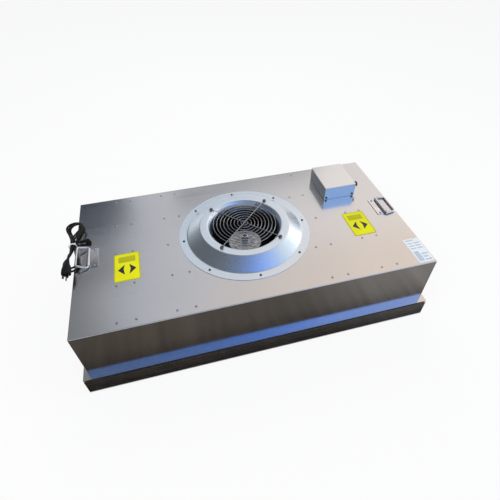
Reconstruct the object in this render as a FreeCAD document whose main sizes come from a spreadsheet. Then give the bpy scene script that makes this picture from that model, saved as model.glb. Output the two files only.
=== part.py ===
"""Fan filter unit for a clean-room ceiling, standing on its filter.

Frame: origin at the middle of the filter's underside, +Z up, +X along the long side, +Y to the
side of the control box.  Millimetres.  Air enters at the spun inlet on top and leaves through the
pleated filter below.
"""
import FreeCAD, Part
import math
import os
import re

import Sketcher

VECTOR = FreeCAD.Vector

# ------------------------------------------------------------------------------------------
# Driving dimensions: alias, value, meaning
# ------------------------------------------------------------------------------------------
SIZES = [
    ("filter_height", 69, "height of the filter's frame"),
    ("frame_wall", 2, "wall of the filter's extruded frame"),
    ("frame_lip", 18, "width of the frame's two lips"),
    ("potting_width", 9, "sealing compound between frame and pack"),
    ("pack_height", 50, "height of the pleated pack"),
    ("pleat_pitch", 20, "distance from one pleat to the next"),
    ("media_thick", 1.2, "thickness of the folded media"),
    ("media_slant", 3, "upright thickness of the steep folds in medium thicknesses"),
    ("grille_thick", 1.2, "thickness of the face guard"),
    ("grille_bar", 5, "width of the face guard's bars"),
    ("grille_border", 24, "width of the face guard's plain border"),
    ("grille_columns", 10, "openings of the face guard along the unit"),
    ("grille_rows", 5, "openings of the face guard across the unit"),
    ("gasket_height", 6, "compressed height of the foam gasket"),
    ("gasket_inset", 4, "gasket's step back from the flange's edge"),
    ("gasket_width", 12, "width of the gasket"),
    ("case_length", 1142, "length of the case over its walls"),
    ("case_depth", 608, "depth of the case over its walls"),
    ("case_height", 197, "height of the case with its flange"),
    ("case_sheet", 1.2, "thickness of the case's sheet"),
    ("bend_radius", 2.5, "outer radius of the folded edges"),
    ("flange_reach", 16.5, "reach of the flange beyond the walls"),
    ("air_hole_radius", 186, "hole in the panel under the inlet"),
    ("hole_clear", 0.15, "radial clearance of a screw or rivet in its hole"),
    ("fit_clear", 0.3, "gap between pieces that slip into each other"),
    ("turn_clear", 1, "gap round and behind what turns in a recess"),
    ("head_clear", 1, "gap from a rivet's head to what stands beside it"),
    ("hat_crown", 34, "width of a stiffener's crown"),
    ("hat_rise", 25, "height of a stiffener"),
    ("hat_sheet", 1.2, "thickness of a stiffener's sheet"),
    ("hat_inner", 241, "middle of the inner stiffeners from the unit's middle"),
    ("hat_inset", 159.5, "middle of the outer stiffeners from the case's ends"),
    ("rivet_offset", 27, "rivet column from the middle of its stiffener"),
    ("rivet_edge", 10, "edge of a stiffener's flange beyond its rivet column"),
    ("rivet_row_near", 141, "first rivet row from the unit's middle"),
    ("rivet_row_far", 280, "second rivet row from the unit's middle"),
    ("rivet_head", 4.2, "radius of a blind rivet's head"),
    ("rivet_head_height", 1.3, "height of a blind rivet's head"),
    ("inlet_radius", 228, "outer radius of the inlet's flange"),
    ("inlet_sheet", 1.4, "thickness of the spun inlet"),
    ("inlet_foot", 200, "radius at the foot of the inlet's cone"),
    ("inlet_crown", 154, "outer radius of the inlet's flat crown"),
    ("inlet_rise", 36, "height of the crown's top above the panel"),
    ("inlet_mouth", 128, "radius where the bell mouth starts"),
    ("inlet_throat", 114, "inner radius of the bell mouth's throat"),
    ("inlet_throat_height", 2, "throat's lower edge above the panel"),
    ("inlet_screw_circle", 214, "radius of the circle of the inlet's screws"),
    ("inlet_screw_count", 8, "number of inlet screws"),
    ("screw_head", 4, "radius of a pan head"),
    ("screw_head_height", 2.6, "height of a pan head"),
    ("guard_bolt_circle", 140, "radius of the circle of the guard's bolts"),
    ("guard_bolt_radius", 3, "radius of a guard bolt"),
    ("guard_bolt_flats", 5, "half the width across a guard bolt's flats"),
    ("guard_bolt_head", 4, "height of a guard bolt's head"),
    ("guard_nut", 4.5, "height of a guard bolt's nut"),
    ("bolt_end", 1, "length of a guard bolt beyond its nut"),
    ("guard_wire", 2.2, "width and height of the guard's rings"),
    ("guard_cross", 2.8, "width and height of the guard's cross wires"),
    ("guard_pitch", 12, "distance from one ring to the next"),
    ("guard_rings", 9, "number of rings"),
    ("guard_eye", 8, "radius of the eyes at the ends of the cross wires"),
    ("guard_eye_thick", 2, "thickness of the eyes"),
    ("weld_sink", 0.4, "depth to which crossing wires are welded together"),
    ("deck_drop", 160, "motor deck's upper face below the panel's top"),
    ("bridge_width", 210, "width of the motor bridge"),
    ("bridge_sheet", 2, "thickness of the motor bridge"),
    ("bridge_foot", 15, "half width of the bridge's feet"),
    ("bridge_leg_inset", 17, "outer face of a leg from the middle of its stiffener"),
    ("bridge_window_width", 150, "width of the window in each leg"),
    ("bridge_window_rise", 90, "height of the window in each leg"),
    ("bridge_screw_row", 80, "bridge's foot screws from the unit's middle"),
    ("rotor_radius", 58, "outer radius of the motor's rotor"),
    ("rotor_drop", 52, "rotor's face below the panel's top"),
    ("rotor_height", 70, "height of the rotor's cup"),
    ("rotor_wall", 4, "wall of the rotor's cup"),
    ("rotor_rim", 74, "radius of the rim that carries the impeller"),
    ("rotor_rim_thick", 3, "thickness of that rim"),
    ("boss_radius", 12, "radius of the rotor's boss"),
    ("boss_rise", 30, "height of the boss above the rotor's face"),
    ("groove_radius", 45.5, "radius of the groove in the rotor's face"),
    ("groove_width", 2.5, "width of that groove"),
    ("groove_depth", 2, "depth of that groove"),
    ("rotor_ribs", 12, "number of ribs on the rotor's face"),
    ("rib_width", 2.4, "width of a rib"),
    ("rib_rise", 1.6, "height of a rib"),
    ("shaft_radius", 7.5, "radius of the motor's shaft"),
    ("shaft_recess", 12, "shaft's end below the boss's rim"),
    ("running_fit", 0.05, "radial clearance of the shaft in its bearings"),
    ("bearing_radius", 17.5, "outer radius of the bearings"),
    ("bearing_width", 11, "width of the bearings"),
    ("stator_radius", 51, "radius of the stator inside the rotor"),
    ("stator_flange", 62, "radius of the stator's flange"),
    ("stator_flange_thick", 6, "thickness of the stator's flange"),
    ("stator_gap", 3, "gap between the stator's top and the rotor"),
    ("motor_screw_circle", 56, "circle of the screws in the stator's flange"),
    ("impeller_radius", 155, "outer radius of the impeller"),
    ("impeller_eye", 117, "inner radius of the impeller's eye"),
    ("impeller_wall", 2.5, "wall of the impeller"),
    ("impeller_outlet", 72, "height of the impeller's outlet"),
    ("impeller_collar", 10, "height of the collar round the eye"),
    ("impeller_gap", 4, "gap between the throat and the impeller's collar"),
    ("impeller_bore", 60, "radius of the hole in the impeller's back plate"),
    ("impeller_screw_circle", 67, "circle of the impeller's screws"),
    ("blade_count", 7, "number of blades"),
    ("blade_thick", 2.5, "thickness of a blade"),
    ("blade_inner", 84, "radius at a blade's inner edge"),
    ("blade_outer", 153, "radius at a blade's outer edge"),
    ("blade_lean_in", 1.22, "blade's width along its inner circle, in thicknesses"),
    ("blade_lean_out", 1.66, "blade's width along its outer circle, in thicknesses"),
    ("blade_sweep", 46, "angle in degrees that a blade sweeps"),
    ("blade_curve", 125, "radius of a blade's curve"),
    ("blade_root", 35, "height of a blade's inner edge"),
    ("shroud_waist", 126, "radius at the bend of the impeller's shroud"),
    ("shroud_waist_rise", 9, "height of that bend above the shroud's edge"),
    ("liner_thick", 15, "thickness of the acoustic liners"),
    ("liner_step", 6, "liners' step from the flange and from the stiffeners"),
    ("box_inset", 234, "left side of the control box from the case's right end"),
    ("box_front", 92, "front of the control box from the unit's middle"),
    ("box_length", 125, "length of the control box"),
    ("box_depth", 146, "depth of the control box"),
    ("box_height", 52, "height of the control box"),
    ("box_seam", 2.5, "height of the lid's lower edge above the panel"),
    ("box_sheet", 1.2, "thickness of the control box's sheet"),
    ("box_bend", 1.8, "outer radius of the lid's bends"),
    ("box_overlap", 12, "height of the tray's rim inside the lid"),
    ("box_screw_edge", 9, "lid screws from the box's corners"),
    ("box_screw_rise", 5, "lid screws above the lid's edge"),
    ("box_fix_edge", 14, "floor screws from the box's walls"),
    ("grommet_inset", 20, "cable grommet from the box's left side"),
    ("grommet_radius", 9, "outer radius of the cable grommet"),
    ("grommet_bore", 4.5, "radius of the cable grommet's bore"),
    ("grommet_step", 2, "step of the grommet's flange"),
    ("grommet_flange", 2, "thickness of the grommet's flange"),
    ("knob_radius", 11, "radius of the speed knob"),
    ("knob_length", 11, "length of the speed knob"),
    ("knob_flutes", 10, "number of finger flutes round the knob"),
    ("flute_depth", 1.3, "depth of a flute"),
    ("knob_face", 4, "thickness of the knob's face over its spindle"),
    ("knob_setback", 18, "knob's middle behind the box's front"),
    ("knob_height", 38, "knob's middle above the panel"),
    ("dial_radius", 12, "radius of the dial plate"),
    ("dial_thick", 1.5, "thickness of the dial plate"),
    ("spindle_radius", 3, "radius of the control's spindle"),
    ("spindle_clear", 0.05, "radial clearance of the knob on its bush"),
    ("bush_radius", 4.5, "radius of the control's threaded bush"),
    ("bush_rise", 1.5, "bush's end beyond the dial plate"),
    ("pot_radius", 10, "radius of the speed control's body"),
    ("pot_length", 14, "length of the speed control's body"),
    ("capacitor_radius", 15, "radius of the run capacitor"),
    ("capacitor_length", 70, "length of the run capacitor"),
    ("capacitor_inset", 62, "run capacitor's axis from the box's left side"),
    ("capacitor_setback", 20, "run capacitor's middle behind the box's"),
    ("terminal_width", 18, "width of the terminal block"),
    ("terminal_length", 52, "length of the terminal block"),
    ("terminal_height", 16, "height of the terminal block"),
    ("terminal_inset", 21, "terminal block's middle from the box's right side"),
    ("terminal_setback", 14, "terminal block's middle behind the box's"),
    ("terminal_rib", 4, "rib between two terminals"),
    ("terminal_poles", 5, "number of terminals"),
    ("handle_inset", 45, "handles' pivots from the case's ends"),
    ("handle_length", 86, "length of a handle's plate"),
    ("barrel_length", 80, "length of the barrel rolled from the plate"),
    ("handle_plate_width", 24, "width of a handle's plate inside its barrel"),
    ("handle_sheet", 2, "thickness of a handle's plate"),
    ("bail_wire", 7, "diameter of a bail's wire"),
    ("bail_fit", 0.08, "radial clearance of a bail in its barrel"),
    ("bail_reach", 37, "bail's reach from its pivot"),
    ("bail_grip", 84, "length of a bail's grip between its corners"),
    ("bail_bend", 7, "radius of a bail's bends"),
    ("bail_rest", 0.3, "gap between a bail that lies down and the panel"),
    ("bail_end", 20, "length of a bail's end inside the barrel"),
    ("bail_shoulder", 0.6, "gap between a barrel's end and the bail's bend"),
    ("bail_lift", 22, "angle in degrees at which the left bail rests on the cord"),
    ("curl_gap", 15, "angle in degrees by which the barrel's curl stays open"),
    ("handle_screw_row", 36, "handle screws from the handle's middle"),
    ("sign_inset", 165, "middle of the direction plates from the case's ends"),
    ("sign_centre_y", -67, "middle of the direction plates from the unit's middle"),
    ("sign_width", 82, "width of a direction plate"),
    ("sign_depth", 122, "depth of a direction plate"),
    ("label_thick", 0.4, "thickness of the plates on the panel"),
    ("rating_inset", 60, "left side of the rating plate from the case's right end"),
    ("rating_edge", 7, "front of the rating plate from the case's front"),
    ("rating_width", 56, "width of the rating plate"),
    ("rating_depth", 109, "depth of the rating plate"),
    ("cord_width", 7, "diameter of the mains cord"),
    ("relief_inset", 41, "cord's strain relief from the case's left end"),
    ("relief_y", 80, "cord's strain relief from the unit's middle"),
    ("relief_neck", 6.5, "radius of the strain relief in the panel"),
    ("relief_flange", 9.5, "radius of the strain relief's flange"),
    ("relief_flange_thick", 2.5, "thickness of the strain relief's flange"),
    ("relief_reach", 24, "length of the strain relief's tapered spout"),
    ("relief_step", 2, "step from the strain relief's flange to its body"),
    ("relief_grip", 3, "length of the strain relief's neck below the panel"),
    ("relief_lip", 1, "wall of the spout at its end"),
    ("relief_rise", 9, "height of the spout's axis above the panel"),
]

# Terms that are worked out from the sizes and used in several expressions
TERMS = {
    "seat": "(filter_height + gasket_height)",
    "top": "(seat + case_height)",
    "flange_length": "(case_length + 2 * flange_reach)",
    "flange_depth": "(case_depth + 2 * flange_reach)",
    "inside_length": "(case_length - 2 * case_sheet)",
    "inside_depth": "(case_depth - 2 * case_sheet)",
    "panel_under": "(top - case_sheet)",
    "crown_under": "(panel_under - hat_rise)",
    "crown_top": "(top + inlet_rise)",
    "deck": "(top - deck_drop)",
    "hub_face": "(top - rotor_drop)",
    "rim_under": "(hub_face - rotor_height)",
    "backplate": "(rim_under + rotor_rim_thick)",
    "eye_top": "(top + inlet_throat_height - impeller_gap)",
    "shroud_edge": "(backplate + impeller_wall + impeller_outlet)",
    "stator_top": "(hub_face - rotor_wall - stator_gap)",
    "hat_outer": "(case_length / 2 - hat_inset)",
    "handle_pivot": "(case_length / 2 - handle_inset)",
    "relief_x": "(case_length / 2 - relief_inset)",
    "sign_centre_x": "(case_length / 2 - sign_inset)",
    "rating_left": "(case_length / 2 - rating_inset)",
    "rating_front": "(rating_edge - case_depth / 2)",
    "box_left": "(case_length / 2 - box_inset)",
    "box_right": "(box_left + box_length)",
    "box_back": "(box_front + box_depth)",
    "box_middle_x": "(box_left + box_length / 2)",
    "box_middle_y": "(box_front + box_depth / 2)",
    "knob_y": "(box_front + knob_setback)",
    "knob_z": "(top + knob_height)",
    "bail_radius": "(bail_wire / 2)",
    "barrel_bore": "(bail_radius + bail_fit)",
    "barrel_radius": "(barrel_bore + handle_sheet)",
    "pivot_z": "(top + barrel_radius)",
    "frame_inside": "(flange_length / 2 - frame_wall)",
    "frame_inside_y": "(flange_depth / 2 - frame_wall)",
    "pack_length": "(flange_length - 2 * frame_wall - 2 * potting_width)",
    "pack_depth": "(flange_depth - 2 * frame_wall - 2 * potting_width)",
}

document = FreeCAD.newDocument("fan_filter_unit")
sheet = document.addObject("Spreadsheet::Sheet", "Sizes")
for row, (alias, value, meaning) in enumerate(SIZES, start=1):
    sheet.set(f"A{row}", meaning)
    sheet.set(f"B{row}", str(value))
    sheet.setAlias(f"B{row}", alias)
document.recompute()

ALIASES = {alias for alias, value, meaning in SIZES}


# ------------------------------------------------------------------------------------------
# Expressions
# ------------------------------------------------------------------------------------------
def spelled(expression):
    """The expression with its terms opened up and its aliases led by the sheet's name."""
    def opened(match):
        word = match.group(0)
        if word in TERMS:
            return spelled(TERMS[word])
        return "Sizes." + word if word in ALIASES else word
    return re.sub(r"(?<![\w.])[a-z_]+(?:\b)", opened, str(expression))


def number(expression):
    """The expression's value now."""
    value = sheet.evalExpression(spelled(expression))
    return float(getattr(value, "Value", value))


def bind(item, **expressions):
    """Ties properties to expressions; a double underscore stands for a dot."""
    for name, expression in expressions.items():
        item.setExpression(name.replace("__", "."), spelled(expression))


# ------------------------------------------------------------------------------------------
# Bodies, sketches and the features on them
# ------------------------------------------------------------------------------------------
finished = []


def keep(item, label):
    """Names a finished sub-part."""
    item.Label = label
    finished.append(item)
    return item


def new_body(name):
    body = document.addObject("PartDesign::Body", name + "_body")
    body.AllowCompound = True
    return body


def origin_plane(body, role):
    return next(item for item in body.Origin.OriginFeatures if item.Role == role)


def new_sketch(body, role="XY_Plane", offset="0"):
    sketch = body.newObject("Sketcher::SketchObject", "Sketch")
    sketch.AttachmentSupport = (origin_plane(body, role), [""])
    sketch.MapMode = "FlatFace"
    bind(sketch, AttachmentOffset__Base__z=offset)
    return sketch


def add_all(sketch, geometry, constraints):
    """Adds geometry and constraints, which are pairs of a constraint and its expression."""
    sketch.addGeometry(geometry)
    first = sketch.ConstraintCount
    sketch.addConstraint([constraint for constraint, expression in constraints])
    for index, (constraint, expression) in enumerate(constraints, start=first):
        if expression:
            sketch.setExpression(f"Constraints[{index}]", spelled(expression))


def held(geometry, position, x, y):
    """Constraints that hold a sketch point at a place given by two expressions."""
    constraints = []
    for kind, axis, expression in (("DistanceX", -2, x), ("DistanceY", -1, y)):
        value = number(expression)
        if abs(value) < 1e-9:
            constraints.append((Sketcher.Constraint("PointOnObject", geometry, position, axis), None))
            continue
        ends = (-1, 1, geometry, position) if value > 0 else (geometry, position, -1, 1)
        signed = f"({expression})" if value > 0 else f"-({expression})"
        constraints.append((Sketcher.Constraint(kind, *ends, abs(value)), signed))
    return constraints


def arc_between(start, end, radius, turn):
    """The smaller arc from start to end, turning left for 'left' and right for 'right'."""
    chord = end - start
    half = chord.Length / 2
    normal = VECTOR(-chord.y, chord.x, 0).normalize() * (1 if turn == "left" else -1)
    centre = start + chord * 0.5 + normal * math.sqrt(max(radius ** 2 - half ** 2, 0))
    first, last = (start, end) if turn == "left" else (end, start)
    angles = [math.atan2(point.y - centre.y, point.x - centre.x) for point in (first, last)]
    if angles[1] < angles[0]:
        angles[1] += 2 * math.pi
    return Part.ArcOfCircle(Part.Circle(centre, VECTOR(0, 0, 1), radius), *angles)


def add_outlines(sketch, outlines):
    """Closed outlines.  A point is (x, y), or (x, y, radius, turn) where an arc follows it."""
    geometry, constraints = [], []
    for points in outlines:
        first = sketch.GeometryCount + len(geometry)
        places = [VECTOR(number(point[0]), number(point[1]), 0) for point in points]
        ends = []
        for index, point in enumerate(points):
            start, end = places[index], places[(index + 1) % len(points)]
            if len(point) == 2:
                geometry.append(Part.LineSegment(start, end))
                ends.append((1, 2))
                continue
            radius, turn = point[2:]
            geometry.append(arc_between(start, end, number(radius), turn))
            constraints.append((Sketcher.Constraint("Radius", first + index, number(radius)), radius))
            ends.append((1, 2) if turn == "left" else (2, 1))
        for index, point in enumerate(points):
            following = (index + 1) % len(points)
            constraints.append((Sketcher.Constraint("Coincident", first + index, ends[index][1],
                                                    first + following, ends[following][0]), None))
            constraints += held(first + index, ends[index][0], point[0], point[1])
    add_all(sketch, geometry, constraints)


def add_outline(sketch, points):
    add_outlines(sketch, [points])


def rectangle(x, y, length, depth):
    """A rectangle's outline about a middle point."""
    low_x, high_x = f"{x} - ({length}) / 2", f"{x} + ({length}) / 2"
    low_y, high_y = f"{y} - ({depth}) / 2", f"{y} + ({depth}) / 2"
    return [(low_x, low_y), (high_x, low_y), (high_x, high_y), (low_x, high_y)]


def add_rectangle(sketch, x, y, length, depth):
    add_outline(sketch, rectangle(x, y, length, depth))


def add_circles(sketch, places, radius):
    geometry, constraints = [], []
    for index, (x, y) in enumerate(places, start=sketch.GeometryCount):
        geometry.append(Part.Circle(VECTOR(number(x), number(y), 0), VECTOR(0, 0, 1), number(radius)))
        constraints.append((Sketcher.Constraint("Radius", index, number(radius)), radius))
        constraints += held(index, 3, x, y)
    add_all(sketch, geometry, constraints)


def pad(body, sketch, length, midplane=False, reverse=False):
    feature = body.newObject("PartDesign::Pad", "Pad")
    feature.Profile = sketch
    feature.Midplane = midplane
    feature.Reversed = reverse
    bind(feature, Length=length)
    return feature


def pocket(body, sketch, depth=None, midplane=False, reverse=False):
    """A pocket of a depth, or through all.  It must really cut."""
    document.recompute()
    before = body.Shape.Volume
    feature = body.newObject("PartDesign::Pocket", "Pocket")
    feature.Profile = sketch
    feature.Midplane = midplane
    feature.Reversed = reverse
    if depth is None:
        feature.Type = "ThroughAll"
    else:
        bind(feature, Length=depth)
    document.recompute()
    if not body.Shape.Volume < before - 1e-3:
        raise RuntimeError(f"{feature.Name} of {body.Name} cuts nothing")
    return feature


def revolve(body, sketch):
    """A full turn about Z of a profile drawn in the XZ plane."""
    feature = body.newObject("PartDesign::Revolution", "Revolution")
    feature.Profile = sketch
    feature.ReferenceAxis = (sketch, ["V_Axis"])
    feature.Angle = 360
    return feature


def polar(body, feature, count):
    """Copies of a feature round Z."""
    pattern = body.newObject("PartDesign::PolarPattern", "PolarPattern")
    pattern.Originals = [feature]
    pattern.Axis = (next(f for f in body.Origin.OriginFeatures if f.Role == "Z_Axis"), [""])
    pattern.Angle = 360
    bind(pattern, Occurrences=count)
    body.Tip = pattern
    return pattern


def fillet(body, radius, wanted):
    """Rounds the edges of the body's tip that the test picks."""
    document.recompute()
    base = body.Tip
    names = [f"Edge{index}" for index, edge in enumerate(base.Shape.Edges, start=1)
             if wanted(edge)]
    feature = body.newObject("PartDesign::Fillet", "Fillet")
    feature.Base = (base, names)
    bind(feature, Radius=radius)
    return feature


def turned(label, points, role="XZ_Plane"):
    """A turned piece: its half profile is (radius, height) points round Z."""
    body = new_body(label)
    sketch = new_sketch(body, role)
    add_outline(sketch, points)
    revolve(body, sketch)
    return body


def on_circle(radius, count, start="0"):
    """Expressions of the places on a circle round Z."""
    step = 360 / round(number(count))
    angles = [f"({start} + {index * step})" for index in range(round(number(count)))]
    return [(f"{radius} * cos({angle})", f"{radius} * sin({angle})") for angle in angles]


def box_places(half_x, half_y, x="0", y="0"):
    """Expressions of the four corners of a rectangle."""
    return [(f"{x} + {side_x} * ({half_x})", f"{y} + {side_y} * ({half_y})")
            for side_x in (-1, 1) for side_y in (-1, 1)]


def pierce(body, places, radius, offset, depth):
    """Round holes from a height upwards."""
    sketch = new_sketch(body, offset=offset)
    add_circles(sketch, places, radius)
    pocket(body, sketch, depth, reverse=True)


def prism(sides, radius, height, base, direction=None):
    """A straight prism on a regular polygon, centred on its base point."""
    corners = [VECTOR(radius * math.cos(2 * math.pi * index / sides),
                      radius * math.sin(2 * math.pi * index / sides), 0) for index in range(sides)]
    solid = Part.Face(Part.makePolygon(corners + corners[:1])).extrude(VECTOR(0, 0, height))
    if direction is not None:
        solid.Placement = FreeCAD.Placement(VECTOR(0, 0, 0),
                                            FreeCAD.Rotation(VECTOR(0, 0, 1), direction))
    solid.translate(base)
    return solid


def frustum(sides, low_radius, high_radius, height, base, direction):
    """A tapered prism from a base point along a direction."""
    rings = []
    for radius, level in ((low_radius, 0), (high_radius, height)):
        corners = [VECTOR(radius * math.cos(2 * math.pi * index / sides),
                          radius * math.sin(2 * math.pi * index / sides), level)
                   for index in range(sides)]
        rings.append(Part.makePolygon(corners + corners[:1]))
    solid = Part.makeLoft(rings, True, True)
    turn = FreeCAD.Rotation(VECTOR(0, 0, 1), direction)
    return solid.transformed(FreeCAD.Placement(base, turn).toMatrix())


def heads(label, places, seat_z, sides, radius, height):
    """Heads of like fasteners that stand on a level surface, all in one node."""
    solids = [prism(sides, number(radius), number(height),
                    VECTOR(number(x), number(y), number(seat_z))) for x, y in places]
    group = document.addObject("Part::Feature", label + "_set")
    group.Shape = Part.makeCompound(solids)
    return keep(group, label)


def is_straight(edge):
    ends = [vertex.Point for vertex in edge.Vertexes]
    return len(ends) == 2 and abs(edge.Length - ends[0].distanceToPoint(ends[1])) < 1e-6


def lies_at(edge, height):
    box = edge.BoundBox
    return box.ZLength < 1e-6 and abs(box.ZMin - height) < 1e-6


def is_upright(edge):
    return is_straight(edge) and edge.BoundBox.ZLength > 10


# ------------------------------------------------------------------------------------------
# Filter: extruded frame, pleated pack, sealing compound, face guard and gasket
# ------------------------------------------------------------------------------------------
def filter_frame():
    """A frame of C-section with its lips turned inwards."""
    body = new_body("filter_frame")
    sketch = new_sketch(body)
    add_rectangle(sketch, "0", "0", "flange_length", "flange_depth")
    pad(body, sketch, "filter_height")
    opening = new_sketch(body)
    add_rectangle(opening, "0", "0", "flange_length - 2 * frame_lip", "flange_depth - 2 * frame_lip")
    pocket(body, opening, "filter_height", reverse=True)
    channel = new_sketch(body, offset="frame_wall")
    add_rectangle(channel, "0", "0", "2 * frame_inside", "2 * frame_inside_y")
    pocket(body, channel, "filter_height - 2 * frame_wall", reverse=True)
    return keep(body, "filter_frame")


def filter_potting():
    """The compound that seals the pack into the frame's channel."""
    body = new_body("filter_potting")
    sketch = new_sketch(body, offset="frame_wall")
    add_rectangle(sketch, "0", "0", "2 * frame_inside", "2 * frame_inside_y")
    add_rectangle(sketch, "0", "0", "pack_length", "pack_depth")
    pad(body, sketch, "filter_height - 2 * frame_wall")
    return keep(body, "filter_potting")


def filter_media():
    """One sheet folded to and fro, as a profile drawn along X and taken across the unit."""
    length, depth = number("pack_length"), number("pack_depth")
    low = number("(filter_height - pack_height) / 2")
    high = low + number("pack_height")
    thick = number("media_thick")
    folds = 2 * round(length / number("pleat_pitch"))
    step = length / folds
    under = []
    for index in range(folds + 1):
        under.append(VECTOR(-length / 2 + index * step, 0, high - thick if index % 2 else low))
    over = [point + VECTOR(0, 0, thick * number("media_slant")) for point in reversed(under)]
    wire = Part.makePolygon(under + over + under[:1])
    wire.translate(VECTOR(0, -depth / 2, 0))
    pack = document.addObject("Part::Feature", "filter_media_solid")
    pack.Shape = Part.Face(wire).extrude(VECTOR(0, depth, 0))
    return keep(pack, "filter_media")


def filter_guard():
    """The face guard that lies on the frame's lower lips: a border and crossing bars."""
    length, depth = number("pack_length"), number("pack_depth")
    border, bar = number("grille_border"), number("grille_bar")
    thick, low = number("grille_thick"), number("frame_wall")
    columns, rows = round(number("grille_columns")), round(number("grille_rows"))
    pitch_x = (length - 2 * border + bar) / columns
    pitch_y = (depth - 2 * border + bar) / rows
    windows = []
    for column in range(columns):
        for line in range(rows):
            corner = VECTOR(border - length / 2 + column * pitch_x, border - depth / 2 + line * pitch_y, low)
            windows.append(Part.makeBox(pitch_x - bar, pitch_y - bar, thick, corner))
    plate = Part.makeBox(length, depth, thick, VECTOR(-length / 2, -depth / 2, low))
    guard = document.addObject("Part::Feature", "filter_guard_sheet")
    guard.Shape = plate.cut(Part.makeCompound(windows))
    return keep(guard, "filter_guard")


def flange_gasket():
    body = new_body("flange_gasket")
    sketch = new_sketch(body, offset="filter_height")
    add_rectangle(sketch, "0", "0", "flange_length - 2 * gasket_inset", "flange_depth - 2 * gasket_inset")
    inner = "2 * (gasket_inset + gasket_width)"
    add_rectangle(sketch, "0", "0", f"flange_length - {inner}", f"flange_depth - {inner}")
    pad(body, sketch, "gasket_height")
    return keep(body, "flange_gasket")


# ------------------------------------------------------------------------------------------
# Places that several pieces share
# ------------------------------------------------------------------------------------------
HEX_SIDES, WIRE_SIDES, ROUND_SIDES = 6, 8, 10
HAT_CENTRES = ["-(hat_outer)", "-(hat_inner)", "hat_inner", "hat_outer"]
ROWS = ["-(rivet_row_far)", "-(rivet_row_near)", "0", "rivet_row_near", "rivet_row_far"]


def rivet_places(centre=None):
    """Rivets of one stiffener, or of all; none stands under the inlet or the control box."""
    places = []
    room = number("rivet_head + head_clear")
    for middle in [centre] if centre else HAT_CENTRES:
        for side in (-1, 1):
            for y in ROWS:
                x = f"({middle} + {side} * rivet_offset)"
                under_inlet = math.hypot(number(x), number(y)) < number("inlet_radius") + room
                beside = abs(number(f"{x} - box_middle_x")) - number("box_length / 2") - room
                behind = abs(number(f"{y} - box_middle_y")) - number("box_depth / 2") - room
                if not under_inlet and max(beside, behind) > 0:
                    places.append((x, y))
    return places


INLET_SCREWS = on_circle("inlet_screw_circle", "inlet_screw_count")
GUARD_BOLTS = on_circle("guard_bolt_circle", "4", "45")
MOTOR_SCREWS = on_circle("motor_screw_circle", "4", "45")
IMPELLER_SCREWS = on_circle("impeller_screw_circle", "6", "30")
BRIDGE_SCREWS = box_places("hat_inner", "bridge_screw_row")
BOX_SCREWS = box_places("box_length / 2 - box_fix_edge", "box_depth / 2 - box_fix_edge",
                        "box_middle_x", "box_middle_y")
HANDLE_MIDDLE = "(handle_pivot - barrel_radius - handle_plate_width / 2)"
BOX_GROMMET = ("box_left + grommet_inset", "box_middle_y")
RELIEF_BASE = ("-(relief_x)", "relief_y")


def handle_screws(side):
    """One screw near each end of a handle's plate."""
    x = f"({side} * {HANDLE_MIDDLE})"
    return [(x, "-(handle_screw_row)"), (x, "handle_screw_row")]


# ------------------------------------------------------------------------------------------
# Case, stiffeners and what fixes them
# ------------------------------------------------------------------------------------------
def top_case():
    """Folded sheet: panel, four walls and an outward flange, with all its holes."""
    body = new_body("top_case")
    outer = new_sketch(body, offset="seat")
    add_rectangle(outer, "0", "0", "case_length", "case_depth")
    pad(body, outer, "case_height")
    fillet(body, "bend_radius", lambda edge: is_upright(edge) or lies_at(edge, number("top")))
    inner = new_sketch(body, offset="seat")
    add_rectangle(inner, "0", "0", "inside_length", "inside_depth")
    pocket(body, inner, "case_height - case_sheet", reverse=True)

    def inside_bend(edge):
        half_length, half_depth = number("inside_length") / 2, number("inside_depth") / 2
        box = edge.BoundBox
        across = abs(abs(box.Center.x) - half_length) < 1e-6
        along = abs(abs(box.Center.y) - half_depth) < 1e-6
        return (is_upright(edge) and across and along) or lies_at(edge, number("panel_under"))
    fillet(body, "bend_radius - case_sheet", inside_bend)
    flange = new_sketch(body, offset="seat")
    add_rectangle(flange, "0", "0", "flange_length", "flange_depth")
    add_rectangle(flange, "0", "0", "case_length - case_sheet", "case_depth - case_sheet")
    pad(body, flange, "case_sheet")
    pierce(body, [("0", "0")], "air_hole_radius", "panel_under", "case_sheet")
    pierce(body, [BOX_GROMMET], "grommet_radius - grommet_step", "panel_under", "case_sheet")
    pierce(body, [RELIEF_BASE], "relief_neck", "panel_under", "case_sheet")
    return keep(body, "top_case")


def stiffener(label, centre):
    """A hat section that runs across the unit under the panel."""
    body = new_body(label)
    half_crown, half_flange = "hat_crown / 2", "(rivet_offset + rivet_edge)"
    section = new_sketch(body, "XZ_Plane")
    x = f"({centre})"
    low_top, low_under = "crown_under + hat_sheet", "crown_under"
    flange_under = "panel_under - hat_sheet"
    add_outline(section, [
        (f"{x} - {half_flange}", "panel_under"),
        (f"{x} - {half_flange}", flange_under),
        (f"{x} - {half_crown}", flange_under),
        (f"{x} - {half_crown}", low_under),
        (f"{x} + {half_crown}", low_under),
        (f"{x} + {half_crown}", flange_under),
        (f"{x} + {half_flange}", flange_under),
        (f"{x} + {half_flange}", "panel_under"),
        (f"{x} + {half_crown} - hat_sheet", "panel_under"),
        (f"{x} + {half_crown} - hat_sheet", low_top),
        (f"{x} - {half_crown} + hat_sheet", low_top),
        (f"{x} - {half_crown} + hat_sheet", "panel_under"),
    ])
    pad(body, section, "inside_depth - 2 * bend_radius", midplane=True)
    return keep(body, label)


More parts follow.
